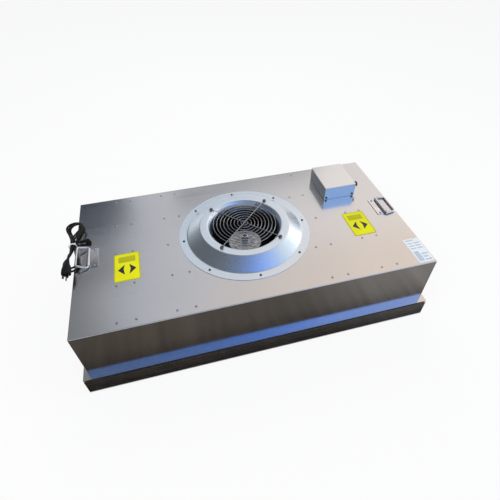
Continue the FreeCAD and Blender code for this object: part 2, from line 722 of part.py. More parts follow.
def acoustic_liner(label, x, y, length, depth):
    """A foam board on an inner wall."""
    board = document.addObject("Part::Box", label + "_board")
    low = "seat + case_sheet + liner_step"
    bind(board, Length=length, Width=depth, Height=f"crown_under - liner_step - ({low})")
    bind(board, Placement__Base__x=f"{x} - ({length}) / 2", Placement__Base__y=f"{y} - ({depth}) / 2",
         Placement__Base__z=low)
    return keep(board, label)


# ------------------------------------------------------------------------------------------
# Inlet and finger guard
# ------------------------------------------------------------------------------------------
def inlet_ring():
    """Spun sheet: flat flange, cone, flat crown and a bell mouth that narrows to the throat."""
    curve = "((inlet_mouth - inlet_throat) ^ 2 + (inlet_rise - inlet_throat_height) ^ 2)"
    bell = f"({curve} / (2 * (inlet_mouth - inlet_throat)))"
    slope = "((inlet_rise - inlet_sheet) / (inlet_foot - inlet_crown))"
    side = f"(inlet_sheet * sqrt(1 + {slope} ^ 2) / {slope} - inlet_sheet / {slope})"
    lip = f"asin((inlet_rise - inlet_throat_height) / {bell})"

    def on_bell(radius, share):
        angle = f"({share} * {lip})"
        return (f"inlet_throat + {bell} - {radius} * cos({angle})",
                f"top + inlet_throat_height + {radius} * sin({angle})")
    body = new_body("inlet_ring")
    section = new_sketch(body, "XZ_Plane")
    add_outline(section, [
        ("inlet_radius", "top"),
        ("inlet_radius", "top + inlet_sheet"),
        (f"inlet_foot + {side}", "top + inlet_sheet"),
        (f"inlet_crown + {side}", "crown_top"),
        on_bell(bell, 1), on_bell(bell, 0.5), on_bell(bell, 0),
        on_bell(f"({bell} - inlet_sheet)", 0), on_bell(f"({bell} - inlet_sheet)", 0.5),
        (f"inlet_mouth + {side} / 2", "crown_top - inlet_sheet"),
        ("inlet_crown", "crown_top - inlet_sheet"),
        ("inlet_foot", "top"),
    ])
    revolve(body, section)
    pierce(body, GUARD_BOLTS, "guard_bolt_radius + hole_clear", "crown_top - inlet_sheet", "inlet_sheet")
    return keep(body, "inlet_ring")


def wire_along(points, bend, radius):
    """Wire of eight flats along straight runs joined by bends; radius is out to its edges."""
    edges = rounded_path(points, bend)
    turn = FreeCAD.Rotation(VECTOR(0, 0, 1), edges[0].tangentAt(edges[0].FirstParameter))
    ring = []
    for index in range(WIRE_SIDES):
        angle = 2 * math.pi * (index + 0.5) / WIRE_SIDES
        corner = VECTOR(radius * math.cos(angle), radius * math.sin(angle), 0)
        ring.append(points[0] + turn.multVec(corner))
    section = Part.Face(Part.makePolygon(ring + ring[:1]))
    runs = []
    for edge in edges:
        if isinstance(edge.Curve, Part.Circle):
            angle = math.degrees(edge.LastParameter - edge.FirstParameter)
            runs.append(section.revolve(edge.Curve.Center, edge.Curve.Axis, angle))
            section.rotate(edge.Curve.Center, edge.Curve.Axis, angle)
        else:
            step = edge.valueAt(edge.LastParameter) - edge.valueAt(edge.FirstParameter)
            runs.append(section.extrude(step))
            section.translate(step)
    return runs[0].fuse(runs[1:]).removeSplitter()


def rounded_path(points, bend):
    """Edges of a path whose corners are arcs; bend is one radius or one for each corner."""
    radii = bend if isinstance(bend, list) else [bend] * (len(points) - 2)
    edges, start = [], points[0]
    for index in range(1, len(points) - 1):
        before = (points[index - 1] - points[index]).normalize()
        after = (points[index + 1] - points[index]).normalize()
        half = before.getAngle(after) / 2
        reach = radii[index - 1] / math.tan(half)
        middle = (before + after).normalize() * (radii[index - 1] / math.sin(half) - radii[index - 1])
        enter, leave = points[index] + before * reach, points[index] + after * reach
        if (enter - start).Length > 1e-6:
            edges.append(Part.LineSegment(start, enter).toShape())
        edges.append(Part.Arc(enter, points[index] + middle, leave).toShape())
        start = leave
    edges.append(Part.LineSegment(start, points[-1]).toShape())
    return edges


def finger_guard():
    """Concentric rings welded between two cross bars whose eyes sit under the bolts."""
    wire, cross = number("guard_wire"), number("guard_cross")
    crown, sink, circle = number("crown_top"), number("weld_sink"), number("guard_bolt_circle")
    ring_low = crown + cross - sink
    over = ring_low + wire - sink
    reach = number("guard_pitch * guard_rings") + 2 * cross
    eye_edge = circle - number("guard_bolt_flats") / math.cos(math.pi / HEX_SIDES) - number("weld_sink")

    def cross_bar(outline, angle):
        bar = Part.Face(Part.makePolygon(outline + outline[:1])).extrude(VECTOR(0, cross, 0))
        bar.translate(VECTOR(0, -cross / 2, 0))
        for side in (-1, 1):
            place = VECTOR(side * circle, 0, crown)
            eye = prism(ROUND_SIDES, number("guard_eye"), number("guard_eye_thick"), place)
            hole = prism(ROUND_SIDES, number("guard_bolt_radius + hole_clear"),
                         number("guard_eye_thick"), place)
            bar = bar.fuse(eye).cut(hole)
        bar.rotate(VECTOR(0, 0, 0), VECTOR(0, 0, 1), angle)
        return bar
    level = [VECTOR(-eye_edge, 0, crown), VECTOR(eye_edge, 0, crown),
             VECTOR(eye_edge, 0, crown + cross), VECTOR(-eye_edge, 0, crown + cross)]
    slope = over - crown
    bent = [(-eye_edge, crown), (-reach - slope, crown), (-reach, over), (reach, over),
            (reach + slope, crown), (eye_edge, crown), (eye_edge, crown + cross),
            (reach + slope + cross / 2, crown + cross), (reach + cross / 2, over + cross),
            (-reach - cross / 2, over + cross), (-reach - slope - cross / 2, crown + cross),
            (-eye_edge, crown + cross)]
    pieces = [cross_bar(level, 135), cross_bar([VECTOR(x, 0, z) for x, z in bent], 45)]
    for index in range(round(number("guard_rings"))):
        radius, base = number("guard_pitch") * (index + 1), VECTOR(0, 0, ring_low)
        ring = Part.makeCylinder(radius + wire / 2, wire, base)
        pieces.append(ring.cut(Part.makeCylinder(radius - wire / 2, wire, base)))
    guard = document.addObject("Part::Feature", "finger_guard_wires")
    guard.Shape = pieces[0].multiFuse(pieces[1:])
    return keep(guard, "finger_guard")


def guard_bolts():
    """Hexagon bolts through the guard's eyes and the crown, with their nuts below."""
    pieces = []
    under_head = "crown_top + guard_eye_thick"
    nut_top = "crown_top - inlet_sheet"
    corner = number("guard_bolt_flats") / math.cos(math.pi / HEX_SIDES)
    shank_length = number(f"{under_head} - ({nut_top}) + guard_nut + bolt_end")
    for x, y in GUARD_BOLTS:
        centre = VECTOR(number(x), number(y), 0)
        head = prism(HEX_SIDES, corner, number("guard_bolt_head"), centre + VECTOR(0, 0, number(under_head)))
        nut = prism(HEX_SIDES, corner, number("guard_nut"),
                    centre + VECTOR(0, 0, number(f"{nut_top} - guard_nut")))
        shank = prism(ROUND_SIDES, number("guard_bolt_radius"), shank_length,
                      centre + VECTOR(0, 0, number(under_head) - shank_length))
        pieces.append(head.fuse(shank))
        pieces.append(nut.cut(shank))
    bolts = document.addObject("Part::Feature", "guard_bolt_set")
    bolts.Shape = Part.makeCompound(pieces)
    return keep(bolts, "guard_bolts")


# ------------------------------------------------------------------------------------------
# Fan: bridge, motor and impeller
# ------------------------------------------------------------------------------------------
def motor_bridge():
    """Folded bridge whose feet hang from the inner stiffeners and whose deck carries the motor."""
    body = new_body("motor_bridge")
    section = new_sketch(body, "XZ_Plane")
    tip, inside = "(hat_inner + bridge_foot)", "(hat_inner - bridge_leg_inset)"
    outside = f"({inside} + bridge_sheet)"
    foot_under, deck_under = "crown_under - bridge_sheet", "deck - bridge_sheet"
    add_outline(section, [
        (tip, "crown_under"), (tip, foot_under), (outside, foot_under), (outside, deck_under),
        (f"-{outside}", deck_under), (f"-{outside}", foot_under), (f"-{tip}", foot_under),
        (f"-{tip}", "crown_under"), (f"-{inside}", "crown_under"), (f"-{inside}", "deck"),
        (inside, "deck"), (inside, "crown_under"),
    ])
    pad(body, section, "bridge_width", midplane=True)
    windows = new_sketch(body, "YZ_Plane")
    add_rectangle(windows, "0", "(deck + crown_under) / 2", "bridge_window_width", "bridge_window_rise")
    pocket(body, windows, "4 * hat_inner", midplane=True)
    return keep(body, "motor_bridge")


def motor_stator():
    """Flanged stator with a seat for a bearing at each end."""
    low_seat = "deck + stator_flange_thick"
    low_top = f"{low_seat} + bearing_width"
    body = turned("motor_stator", [
        ("0", "deck"), ("stator_flange", "deck"), ("stator_flange", low_seat),
        ("stator_radius", low_seat), ("stator_radius", "stator_top"),
        ("bearing_radius", "stator_top"), ("bearing_radius", "stator_top - bearing_width"),
        ("bearing_radius - 4", "stator_top - bearing_width"), ("bearing_radius - 4", low_top),
        ("bearing_radius", low_top), ("bearing_radius", low_seat), ("0", low_seat),
    ])
    return keep(body, "motor_stator")


def bearing(label, low):
    inner = "shaft_radius + running_fit"
    return keep(turned(label, [
        (inner, low), ("bearing_radius", low), ("bearing_radius", f"{low} + bearing_width"),
        (inner, f"{low} + bearing_width"),
    ]), label)


def motor_shaft():
    low, high = "deck + stator_flange_thick + turn_clear", "hub_face + boss_rise - shaft_recess"
    return keep(turned("motor_shaft", [("0", low), ("shaft_radius", low), ("shaft_radius", high),
                                       ("0", high)]), "motor_shaft")


def fan_rotor():
    """The motor's outer rotor: a cup with a rim below, a ribbed face with a groove, and a boss."""
    boss_top = "hub_face + boss_rise"
    groove_in, groove_out = "groove_radius - groove_width / 2", "groove_radius + groove_width / 2"
    face_under = "hub_face - rotor_wall"
    body = turned("fan_rotor", [
        ("shaft_radius", boss_top), ("boss_radius", boss_top), ("boss_radius", "hub_face"),
        (groove_in, "hub_face"), (groove_in, "hub_face - groove_depth"),
        (groove_out, "hub_face - groove_depth"), (groove_out, "hub_face"),
        ("rotor_radius", "hub_face"), ("rotor_radius", "backplate"), ("rotor_rim", "backplate"),
        ("rotor_rim", "rim_under"), ("rotor_radius - rotor_wall", "rim_under"),
        ("rotor_radius - rotor_wall", face_under), ("shaft_radius", face_under),
    ])
    rib = new_sketch(body, offset="hub_face - rib_rise / 2")
    rib_inner, rib_outer = "(boss_radius + 5)", "(groove_radius - groove_width - 1)"
    add_rectangle(rib, f"({rib_inner} + {rib_outer}) / 2", "0", f"{rib_outer} - {rib_inner}", "rib_width")
    feature = pad(body, rib, "1.5 * rib_rise")
    document.recompute()
    polar(body, feature, "rotor_ribs")
    return keep(body, "fan_rotor")


def impeller():
    """Back plate, backward-curved blades and a flared shroud that stand edge to face."""
    floor = "backplate + impeller_wall"
    collar_low = "eye_top - impeller_collar"
    waist, waist_low = "shroud_waist - impeller_wall / 2", "(shroud_edge + shroud_waist_rise)"
    keep(turned("backplate_section", [
        ("impeller_bore", "backplate"), ("impeller_radius", "backplate"),
        ("impeller_radius", floor), ("impeller_bore", floor),
    ]), "impeller_backplate")
    keep(turned("shroud_section", [
        ("impeller_eye", "eye_top"), ("impeller_eye + impeller_wall", "eye_top"),
        ("impeller_eye + impeller_wall", collar_low),
        (f"{waist} + impeller_wall", f"{waist_low} + impeller_wall"),
        ("impeller_radius", "shroud_edge + impeller_wall"),
        ("impeller_radius", "shroud_edge"), (waist, waist_low), ("impeller_eye", collar_low),
    ]), "impeller_shroud")
    envelope = turned("blade_envelope", [
        ("rotor_rim", floor), ("impeller_radius", floor), ("impeller_radius", "shroud_edge"),
        (waist, waist_low), ("impeller_eye", collar_low), ("rotor_rim", f"{floor} + blade_root"),
    ])
    blades = new_body("blades")
    sketch = new_sketch(blades, offset="backplate")

    def at(radius, angle):
        return f"{radius} * cos({angle})", f"{radius} * sin({angle})"
    width_in = "(-(blade_thick) * blade_lean_in / blade_inner * 180 / pi)"
    width_out = "(-(blade_thick) * blade_lean_out / blade_outer * 180 / pi)"
    add_outline(sketch, [
        (*at("blade_inner", width_in), "blade_curve", "left"),
        at("blade_outer", f"(blade_sweep + {width_out})"),
        (*at("blade_outer", "blade_sweep"), "blade_curve", "right"),
        ("blade_inner", "0"),
    ])
    feature = pad(blades, sketch, "eye_top - backplate")
    document.recompute()
    polar(blades, feature, "blade_count")
    vanes = document.addObject("Part::Common", "impeller_vanes")
    vanes.Base, vanes.Tool = blades, envelope
    keep(vanes, "impeller_blades")


# ------------------------------------------------------------------------------------------
# Control box and what it holds
# ------------------------------------------------------------------------------------------
SEAM = "(top + box_seam)"
LID_SCREWS = [(f"box_left + box_screw_edge", f"{SEAM} + box_screw_rise"),
              (f"box_right - box_screw_edge", f"{SEAM} + box_screw_rise")]


def box_rectangle(body, offset, step):
    """A sketch of the box's outline, stepped inwards."""
    sketch = new_sketch(body, offset=offset)
    add_rectangle(sketch, "box_middle_x", "box_middle_y", f"box_length - 2 * ({step})",
                  f"box_depth - 2 * ({step})")
    return sketch


def control_box_tray():
    """Folded tray whose rim rises inside the lid and shows as a dark line under its edge."""
    body = new_body("control_box_tray")
    pad(body, box_rectangle(body, "top", "box_sheet"), "box_seam + box_overlap")
    pocket(body, box_rectangle(body, "top + box_sheet", "2 * box_sheet"),
           "box_seam + box_overlap", reverse=True)
    pierce(body, [BOX_GROMMET], "grommet_radius - grommet_step", "top", "box_sheet")
    return keep(body, "control_box_tray")


def control_box_lid():
    body = new_body("control_box_lid")
    pad(body, box_rectangle(body, SEAM, "0"), "box_height - box_seam")
    fillet(body, "box_bend",
           lambda edge: is_upright(edge) or lies_at(edge, number("top + box_height")))
    pocket(body, box_rectangle(body, SEAM, "box_sheet"), "box_height - box_seam - box_sheet", reverse=True)
    hole = new_sketch(body, "YZ_Plane", "box_right")
    add_circles(hole, [("knob_y", "knob_z")], "bush_radius + hole_clear")
    pocket(body, hole, "2 * box_sheet")
    return keep(body, "control_box_lid")


def control_box_screws():
    """Two screws in the lid's front and two in its back."""
    pieces = []
    for x, z in LID_SCREWS:
        for y, side in (("box_front", -1), ("box_back", 1)):
            base = VECTOR(number(x), number(y), number(z))
            pieces.append(prism(ROUND_SIDES, number("screw_head"), number("screw_head_height"), base,
                                VECTOR(0, side, 0)))
    screws = document.addObject("Part::Feature", "control_box_screw_set")
    screws.Shape = Part.makeCompound(pieces)
    return keep(screws, "control_box_screws")


def on_lid_wall(body, reach):
    """Turns a piece that was made round Z so that it points out of the lid's right wall."""
    body.Placement.Rotation = FreeCAD.Rotation(VECTOR(0, 1, 0), 90)
    bind(body, Placement__Base__x=f"box_right + {reach}", Placement__Base__y="knob_y",
         Placement__Base__z="knob_z")
    return body


def speed_controller():
    """Rotary control behind the lid's wall, with a bush that comes through it."""
    bore = "spindle_radius + spindle_clear"
    behind = "-(box_sheet)"
    body = turned("speed_controller", [
        ("0", f"{behind} - pot_length"), ("pot_radius", f"{behind} - pot_length"),
        ("pot_radius", behind), ("bush_radius", behind), ("bush_radius", "dial_thick + bush_rise"),
        (bore, "dial_thick + bush_rise"), (bore, f"{behind} - pot_length / 2"),
        ("0", f"{behind} - pot_length / 2"),
    ])
    return keep(on_lid_wall(body, "0"), "speed_controller")


def speed_dial():
    inner = "bush_radius + hole_clear"
    body = turned("speed_dial", [(inner, "0"), ("dial_radius", "0"), ("dial_radius", "dial_thick"),
                                 (inner, "dial_thick")])
    return keep(on_lid_wall(body, "0"), "speed_dial")


def speed_knob():
    """Fluted knob with a recess over the bush and a bore for the spindle."""
    body = new_body("speed_knob")
    back, front = "(dial_thick + fit_clear)", "(dial_thick + fit_clear + knob_length)"
    outline = []
    for index in range(2 * round(number("knob_flutes"))):
        radius = "knob_radius" if index % 2 else "(knob_radius - flute_depth)"
        angle = f"({index} * 180 / knob_flutes)"
        outline.append((f"{radius} * cos({angle})", f"{radius} * sin({angle})"))
    profile = new_sketch(body, offset=back)
    add_outline(profile, outline)
    pad(body, profile, "knob_length")
    recess = new_sketch(body, offset=back)
    add_circles(recess, [("0", "0")], "bush_radius + turn_clear")
    pocket(body, recess, "bush_rise - fit_clear + turn_clear", reverse=True)
    bore = new_sketch(body, offset=back)
    add_circles(bore, [("0", "0")], "spindle_radius")
    pocket(body, bore, "knob_length - knob_face", reverse=True)
    return keep(on_lid_wall(body, "0"), "speed_knob")


def knob_spindle():
    low = "-(box_sheet) - pot_length / 2 + turn_clear"
    high = "dial_thick + fit_clear + knob_length - knob_face"
    body = turned("knob_spindle", [("0", low), ("spindle_radius", low), ("spindle_radius", high),
                                   ("0", high)])
    return keep(on_lid_wall(body, "0"), "knob_spindle")


def run_capacitor():
    """A can that lies on the tray's floor along the box."""
    can = turned("run_capacitor", [
        ("0", "0"), ("capacitor_radius", "0"), ("capacitor_radius", "capacitor_length"),
        ("0", "capacitor_length"),
    ])
    can.Placement.Rotation = FreeCAD.Rotation(VECTOR(1, 0, 0), -90)
    bind(can, Placement__Base__x="box_left + capacitor_inset",
         Placement__Base__y="box_middle_y + capacitor_setback - capacitor_length / 2",
         Placement__Base__z="top + box_sheet + capacitor_radius")
    return keep(can, "run_capacitor")


def terminal_block():
    """Insulated block with a screw well over each pole."""
    body = new_body("terminal_block")
    x, y = "box_right - terminal_inset", "box_middle_y + terminal_setback"
    sketch = new_sketch(body, offset="top + box_sheet")
    add_rectangle(sketch, x, y, "terminal_width", "terminal_length")
    pad(body, sketch, "terminal_height")
    wells = new_sketch(body, offset="top + box_sheet + terminal_height")
    poles = round(number("terminal_poles"))
    places = [f"{y} + ({index} + 0.5 - terminal_poles / 2) * terminal_length / terminal_poles"
              for index in range(poles)]
    well = ("terminal_width / 2", "terminal_length / terminal_poles - terminal_rib")
    add_outlines(wells, [rectangle(x, place, *well) for place in places])
    pocket(body, wells, "terminal_height / 2")
    return keep(body, "terminal_block")


def box_grommet():
    """Flanged rubber ring that lines the cable hole through tray and panel."""
    middle = VECTOR(number(BOX_GROMMET[0]), number(BOX_GROMMET[1]), 0)
    low, seat, thick = number("panel_under"), number("top + box_sheet"), number("grommet_flange")
    sleeve = prism(ROUND_SIDES, number("grommet_radius - grommet_step"), seat - low,
                   middle + VECTOR(0, 0, low))
    flange = prism(ROUND_SIDES, number("grommet_radius"), thick, middle + VECTOR(0, 0, seat))
    bore = prism(ROUND_SIDES, number("grommet_bore"), seat - low + thick, middle + VECTOR(0, 0, low))
    ring = document.addObject("Part::Feature", "box_grommet_moulding")
    ring.Shape = sleeve.fuse(flange).cut(bore)
    return keep(ring, "box_grommet")


# ------------------------------------------------------------------------------------------
# Handles
# ------------------------------------------------------------------------------------------
HALF_TURN = FreeCAD.Placement(VECTOR(0, 0, 0), FreeCAD.Rotation(VECTOR(0, 0, 1), 180))


def handle_plate(label, placement):
    """A plate whose outer edge is rolled into a barrel; drawn for the right end of the unit."""
    body = new_body(label)
    outer, inner = "barrel_radius", "barrel_bore"
    pivot, axis = "handle_pivot", "pivot_z"

    def round_pivot(radius, angle):
        return f"{pivot} - {radius} * cos({angle})", f"{axis} + {radius} * sin({angle})"
    edge = f"({pivot} - barrel_radius - handle_plate_width)"
    section = new_sketch(body, "XZ_Plane")
    add_outline(section, [
        (edge, "top"), (pivot, "top", outer, "left"),
        (f"{pivot} + {outer}", axis, outer, "left"),
        (pivot, f"{axis} + {outer}", outer, "left"),
        round_pivot(outer, "-(curl_gap)"), (*round_pivot(inner, "-(curl_gap)"), inner, "right"),
        (pivot, f"{axis} + {inner}", inner, "right"),
        (f"{pivot} + {inner}", axis, inner, "right"),
        (pivot, "top + handle_sheet"), (edge, "top + handle_sheet"),
    ])
    pad(body, section, "handle_length", midplane=True)
    notch = new_sketch(body, "YZ_Plane", f"{pivot} + {outer}")
    step = "(handle_length - barrel_length) / 2"
    for side in (-1, 1):
        add_rectangle(notch, f"{side} * (handle_length / 2 - {step} / 2)", axis, step, "2 * barrel_radius")
    pocket(body, notch, "2 * barrel_radius")
    body.Placement = placement
    return keep(body, label)


def handle_bail(label, lift, placement):
    """Bent wire whose ends turn in the barrel; lift is its angle above the panel."""
    pivot, axis = number("handle_pivot"), number("pivot_z")
    reach, corner = number("bail_reach"), number("bail_grip / 2")
    shoulder = number("barrel_length / 2 + bail_shoulder + bail_bend")
    end = number("barrel_length / 2 - bail_end")
    half = [(0, number("barrel_length / 2 + bail_shoulder / 2")), (0, shoulder), (reach, corner)]
    route = half + [(x, -y) for x, y in reversed(half)]
    points = [VECTOR(pivot + x, y, axis) for x, y in route]
    wire = wire_along(points, number("bail_bend"), number("bail_radius"))
    for side in (-1, 1):
        pin = Part.makeCylinder(number("bail_radius"), half[0][1] - end,
                                VECTOR(pivot, side * end, axis), VECTOR(0, side, 0))
        wire = wire.fuse(pin)
    raised = FreeCAD.Placement(VECTOR(0, 0, 0), FreeCAD.Rotation(VECTOR(0, 1, 0), -lift),
                               VECTOR(pivot, 0, axis))
    bail = document.addObject("Part::Feature", label + "_wire")
    bail.Shape = wire.transformed(placement.multiply(raised).toMatrix())
    return keep(bail, label)


# ------------------------------------------------------------------------------------------
# Plates on the panel
# ------------------------------------------------------------------------------------------
def flat_plate(label, x, y, width, depth):
    plate = document.addObject("Part::Box", label + "_sheet")
    bind(plate, Length=width, Width=depth, Height="label_thick")
    bind(plate, Placement__Base__x=x, Placement__Base__y=y, Placement__Base__z="top")
    return keep(plate, label)


# ------------------------------------------------------------------------------------------
# Mains cord: strain relief, cord, tied hank and plug
# ------------------------------------------------------------------------------------------
HANK_LOW, HANK_HIGH, NECK_HIGH = 1.6, 15.0, 23.0
NECK_LEFT, NECK_RIGHT, NECK_FRONT, NECK_BACK = -18.0, 5.5, 42.0, 96.0
# The hank's outline as corners, and the points that its bulging sides pass through
HANK_OUTLINE = [(-37.0, 158.0), (-7.0, 190.0), (24.0, 158.0), (NECK_RIGHT, NECK_BACK),
                (NECK_RIGHT, NECK_FRONT), (18.0, -26.0), (-6.0, -52.0), (-31.0, -28.0),
                (NECK_LEFT, NECK_FRONT), (NECK_LEFT, NECK_BACK)]
HANK_BULGES = {0: (-28.5, 181.0), 1: (15.0, 181.0), 5: (9.5, -43.5), 6: (-24.0, -45.0)}
TIE_FRONT, TIE_WIDTH, TIE_THICK = 58.0, 5.0, 1.3
TAIL_ROUTE = [(-7, 42, 18.7), (-7, 25, 18.7), (-12, 4, 26), (-12, -13, 26)]
# Plug: its tapered tail, then its body from the tail's end to the face with the blades
PLUG_TAIL, PLUG_TAIL_LENGTH, PLUG_TAIL_RADIUS = TAIL_ROUTE[-1], 22.0, 7.0
PLUG_LENGTH, PLUG_SHOULDER, PLUG_WIDTH, PLUG_WAIST, PLUG_SLOPE = 66.0, 16.0, 31.0, 20.0, 2.0
PLUG_CORNER = 0.4
# Blades: middle across and up from the plug's, slant in degrees and length
BLADES = [(-6.9, 2.5, 30, 17), (6.9, 2.5, -30, 17), (0, -5.2, 90, 20)]
BLADE_WIDTH, BLADE_GAUGE = 6.3, 1.6


def at_left_end(x, y, z):
    """A point from the case's left end, the unit's middle and the panel's top."""
    return VECTOR(x - number("case_length / 2"), y, z + number("top"))


def strain_relief():
    """Right-angled bushing: neck in the panel, flange on it and a tapered spout to the left."""
    base = VECTOR(-number("relief_x"), number("relief_y"), number("top"))
    flange, rise = number("relief_flange"), number("relief_rise")
    body, under = number("relief_flange - relief_step"), number("case_sheet + relief_grip")
    neck = number("relief_neck - hole_clear")
    shape = prism(ROUND_SIDES, flange, number("relief_flange_thick"), base)
    shape = shape.fuse(prism(ROUND_SIDES, neck, under, base - VECTOR(0, 0, under)))
    shape = shape.fuse(prism(ROUND_SIDES, body, rise, base))
    crown = frustum(ROUND_SIDES, body, body / 2, body, base + VECTOR(0, 0, rise), VECTOR(0, 0, 1))
    spout = frustum(ROUND_SIDES, body, number("cord_width / 2 + relief_lip"), number("relief_reach"),
                    base + VECTOR(0, 0, rise), VECTOR(-1, 0, 0))
    relief = document.addObject("Part::Feature", "strain_relief_moulding")
    relief.Shape = shape.fuse(crown).fuse(spout).removeSplitter()
    return keep(relief, "strain_relief")


def cord_tube(label, route):
    """The cord along a route: straight runs joined by arcs as large as the runs allow."""
    radii = []
    for index in range(1, len(route) - 1):
        before, after = route[index] - route[index - 1], route[index + 1] - route[index]
        turn = before.getAngle(after)
        radii.append(0.45 * min(before.Length, after.Length) / math.tan(turn / 2))
    as_heavy = math.sqrt(2 * math.pi / (WIRE_SIDES * math.sin(2 * math.pi / WIRE_SIDES)))
    tube = wire_along(route, radii, number("cord_width / 2") * as_heavy)
    print(label, "bend radii", [round(radius, 1) for radius in radii], "volume", round(tube.Volume))
    cord = document.addObject("Part::Feature", label + "_tube")
    cord.Shape = tube
    return keep(cord, label)


def power_cord():
    """The straight stretch from the strain relief to the hank's neck."""
    y, z = number("relief_y"), number("relief_rise")
    start = number("relief_inset - relief_reach")
    return cord_tube("power_cord", [at_left_end(start, y, z), at_left_end(NECK_RIGHT, y, z)])


def cord_tail():
    return cord_tube("cord_tail", [at_left_end(*point) for point in TAIL_ROUTE])


def cord_hank():
    """The outer shape of the tied hank: a wide back lobe, a high neck and a front lobe."""
    points = [at_left_end(x, y, HANK_LOW) for x, y in HANK_OUTLINE]
    bulge = {index: at_left_end(x, y, HANK_LOW) for index, (x, y) in HANK_BULGES.items()}
    edges = []
    for index, point in enumerate(points):
        following = points[(index + 1) % len(points)]
        edges.append(Part.Arc(point, bulge[index], following).toShape() if index in bulge else
                     Part.LineSegment(point, following).toShape())
    flat = Part.Face(Part.Wire(edges)).extrude(VECTOR(0, 0, HANK_HIGH - HANK_LOW))
    neck = Part.makeBox(NECK_RIGHT - NECK_LEFT, NECK_BACK - NECK_FRONT, NECK_HIGH - HANK_LOW,
                        at_left_end(NECK_LEFT, NECK_FRONT, HANK_LOW))
    hank = document.addObject("Part::Feature", "cord_hank_block")
    hank.Shape = flat.fuse(neck).removeSplitter()
    return keep(hank, "cord_hank")


def cord_tie():
    """A strap round the neck of the hank."""
    outer = Part.makeBox(NECK_RIGHT - NECK_LEFT + 2 * TIE_THICK, TIE_WIDTH,
                         NECK_HIGH - HANK_LOW + 2 * TIE_THICK,
                         at_left_end(NECK_LEFT - TIE_THICK, TIE_FRONT, HANK_LOW - TIE_THICK))
    inner = Part.makeBox(NECK_RIGHT - NECK_LEFT, TIE_WIDTH, NECK_HIGH - HANK_LOW,
                         at_left_end(NECK_LEFT, TIE_FRONT, HANK_LOW))
    tie = document.addObject("Part::Feature", "cord_tie_strap")
    tie.Shape = outer.cut(inner)
    return keep(tie, "cord_tie")


def plug_body():
    """Moulded plug that lies on the hank: tapered tail, then a body that widens to the face."""
    x, y, z = PLUG_TAIL
    wide, high = PLUG_WIDTH / 2, z - HANK_HIGH
    tail_end, face = y - PLUG_TAIL_LENGTH, y - PLUG_LENGTH

    def section(half_wide, half_high, at_y):
        corner = min(half_wide, half_high) * PLUG_CORNER
        outline = [(half_wide, half_high - corner), (half_wide - corner, half_high),
                   (corner - half_wide, half_high), (-half_wide, half_high - corner),
                   (-half_wide, corner - half_high), (corner - half_wide, -half_high),
                   (half_wide - corner, -half_high), (half_wide, corner - half_high)]
        corners = [at_left_end(x + across, at_y, z + up) for across, up in outline]
        return Part.makePolygon(corners + corners[:1])
    tail = frustum(ROUND_SIDES, number("cord_width / 2 + relief_lip"), PLUG_TAIL_RADIUS,
                   PLUG_TAIL_LENGTH, at_left_end(x, y, z), VECTOR(0, -1, 0))
    body = Part.makeLoft([section(PLUG_WAIST / 2, high - PLUG_SLOPE, tail_end),
                          section(wide, high, face + PLUG_SHOULDER), section(wide, high, face)],
                         True, True)
    plug = document.addObject("Part::Feature", "plug_moulding")
    plug.Shape = tail.fuse(body)
    return keep(plug, "plug_body")


def plug_pins():
    """Two slanted blades and an upright earth blade."""
    x, y, z = PLUG_TAIL
    pins = []
    for across, up, slant, length in BLADES:
        blade = Part.makeBox(BLADE_WIDTH, length, BLADE_GAUGE,
                             VECTOR(-BLADE_WIDTH / 2, -length, -BLADE_GAUGE / 2))
        blade.rotate(VECTOR(0, 0, 0), VECTOR(0, 1, 0), slant)
        blade.translate(at_left_end(x + across, y - PLUG_LENGTH, z + up))
        pins.append(blade)
    blades = document.addObject("Part::Feature", "plug_blades")
    blades.Shape = Part.makeCompound(pins)
    return keep(blades, "plug_pins")


# ------------------------------------------------------------------------------------------
# Assembly, from the filter up
# ------------------------------------------------------------------------------------------
filter_frame()
filter_potting()
filter_media()
filter_guard()
flange_gasket()
top_case()
stiffener("stiffener_left_outer", "-(hat_outer)")
stiffener("stiffener_left_inner", "-(hat_inner)")
stiffener("stiffener_right_inner", "hat_inner")
stiffener("stiffener_right_outer", "hat_outer")
heads("panel_rivets", rivet_places(), "top", ROUND_SIDES, "rivet_head", "rivet_head_height")
LINER_Y = "(inside_depth / 2 - liner_thick / 2)"
LINER_X = "(inside_length / 2 - liner_thick / 2)"
LINER_LENGTH = "inside_length - 2 * bend_radius"
acoustic_liner("liner_front", "0", f"-{LINER_Y}", LINER_LENGTH, "liner_thick")
acoustic_liner("liner_back", "0", LINER_Y, LINER_LENGTH, "liner_thick")
acoustic_liner("liner_left", f"-{LINER_X}", "0", "liner_thick", "inside_depth - 2 * liner_thick")
acoustic_liner("liner_right", LINER_X, "0", "liner_thick", "inside_depth - 2 * liner_thick")

motor_bridge()
heads("bridge_screws", BRIDGE_SCREWS, "crown_under - bridge_sheet - screw_head_height", HEX_SIDES,
      "screw_head", "screw_head_height")
motor_stator()
heads("motor_screws", MOTOR_SCREWS, "deck + stator_flange_thick", HEX_SIDES, "screw_head",
      "screw_head_height")
bearing("lower_bearing", "deck + stator_flange_thick")
bearing("upper_bearing", "stator_top - bearing_width")
motor_shaft()
fan_rotor()
impeller()
heads("impeller_screws", IMPELLER_SCREWS, "backplate + impeller_wall", HEX_SIDES, "screw_head",
      "screw_head_height")

inlet_ring()
heads("inlet_screws", INLET_SCREWS, "top + inlet_sheet", ROUND_SIDES, "screw_head", "screw_head_height")
finger_guard()
guard_bolts()

control_box_tray()
heads("box_fixing_screws", BOX_SCREWS, "top + box_sheet", HEX_SIDES, "screw_head", "screw_head_height")
box_grommet()
run_capacitor()
terminal_block()
control_box_lid()
control_box_screws()
speed_controller()
speed_dial()
speed_knob()
knob_spindle()

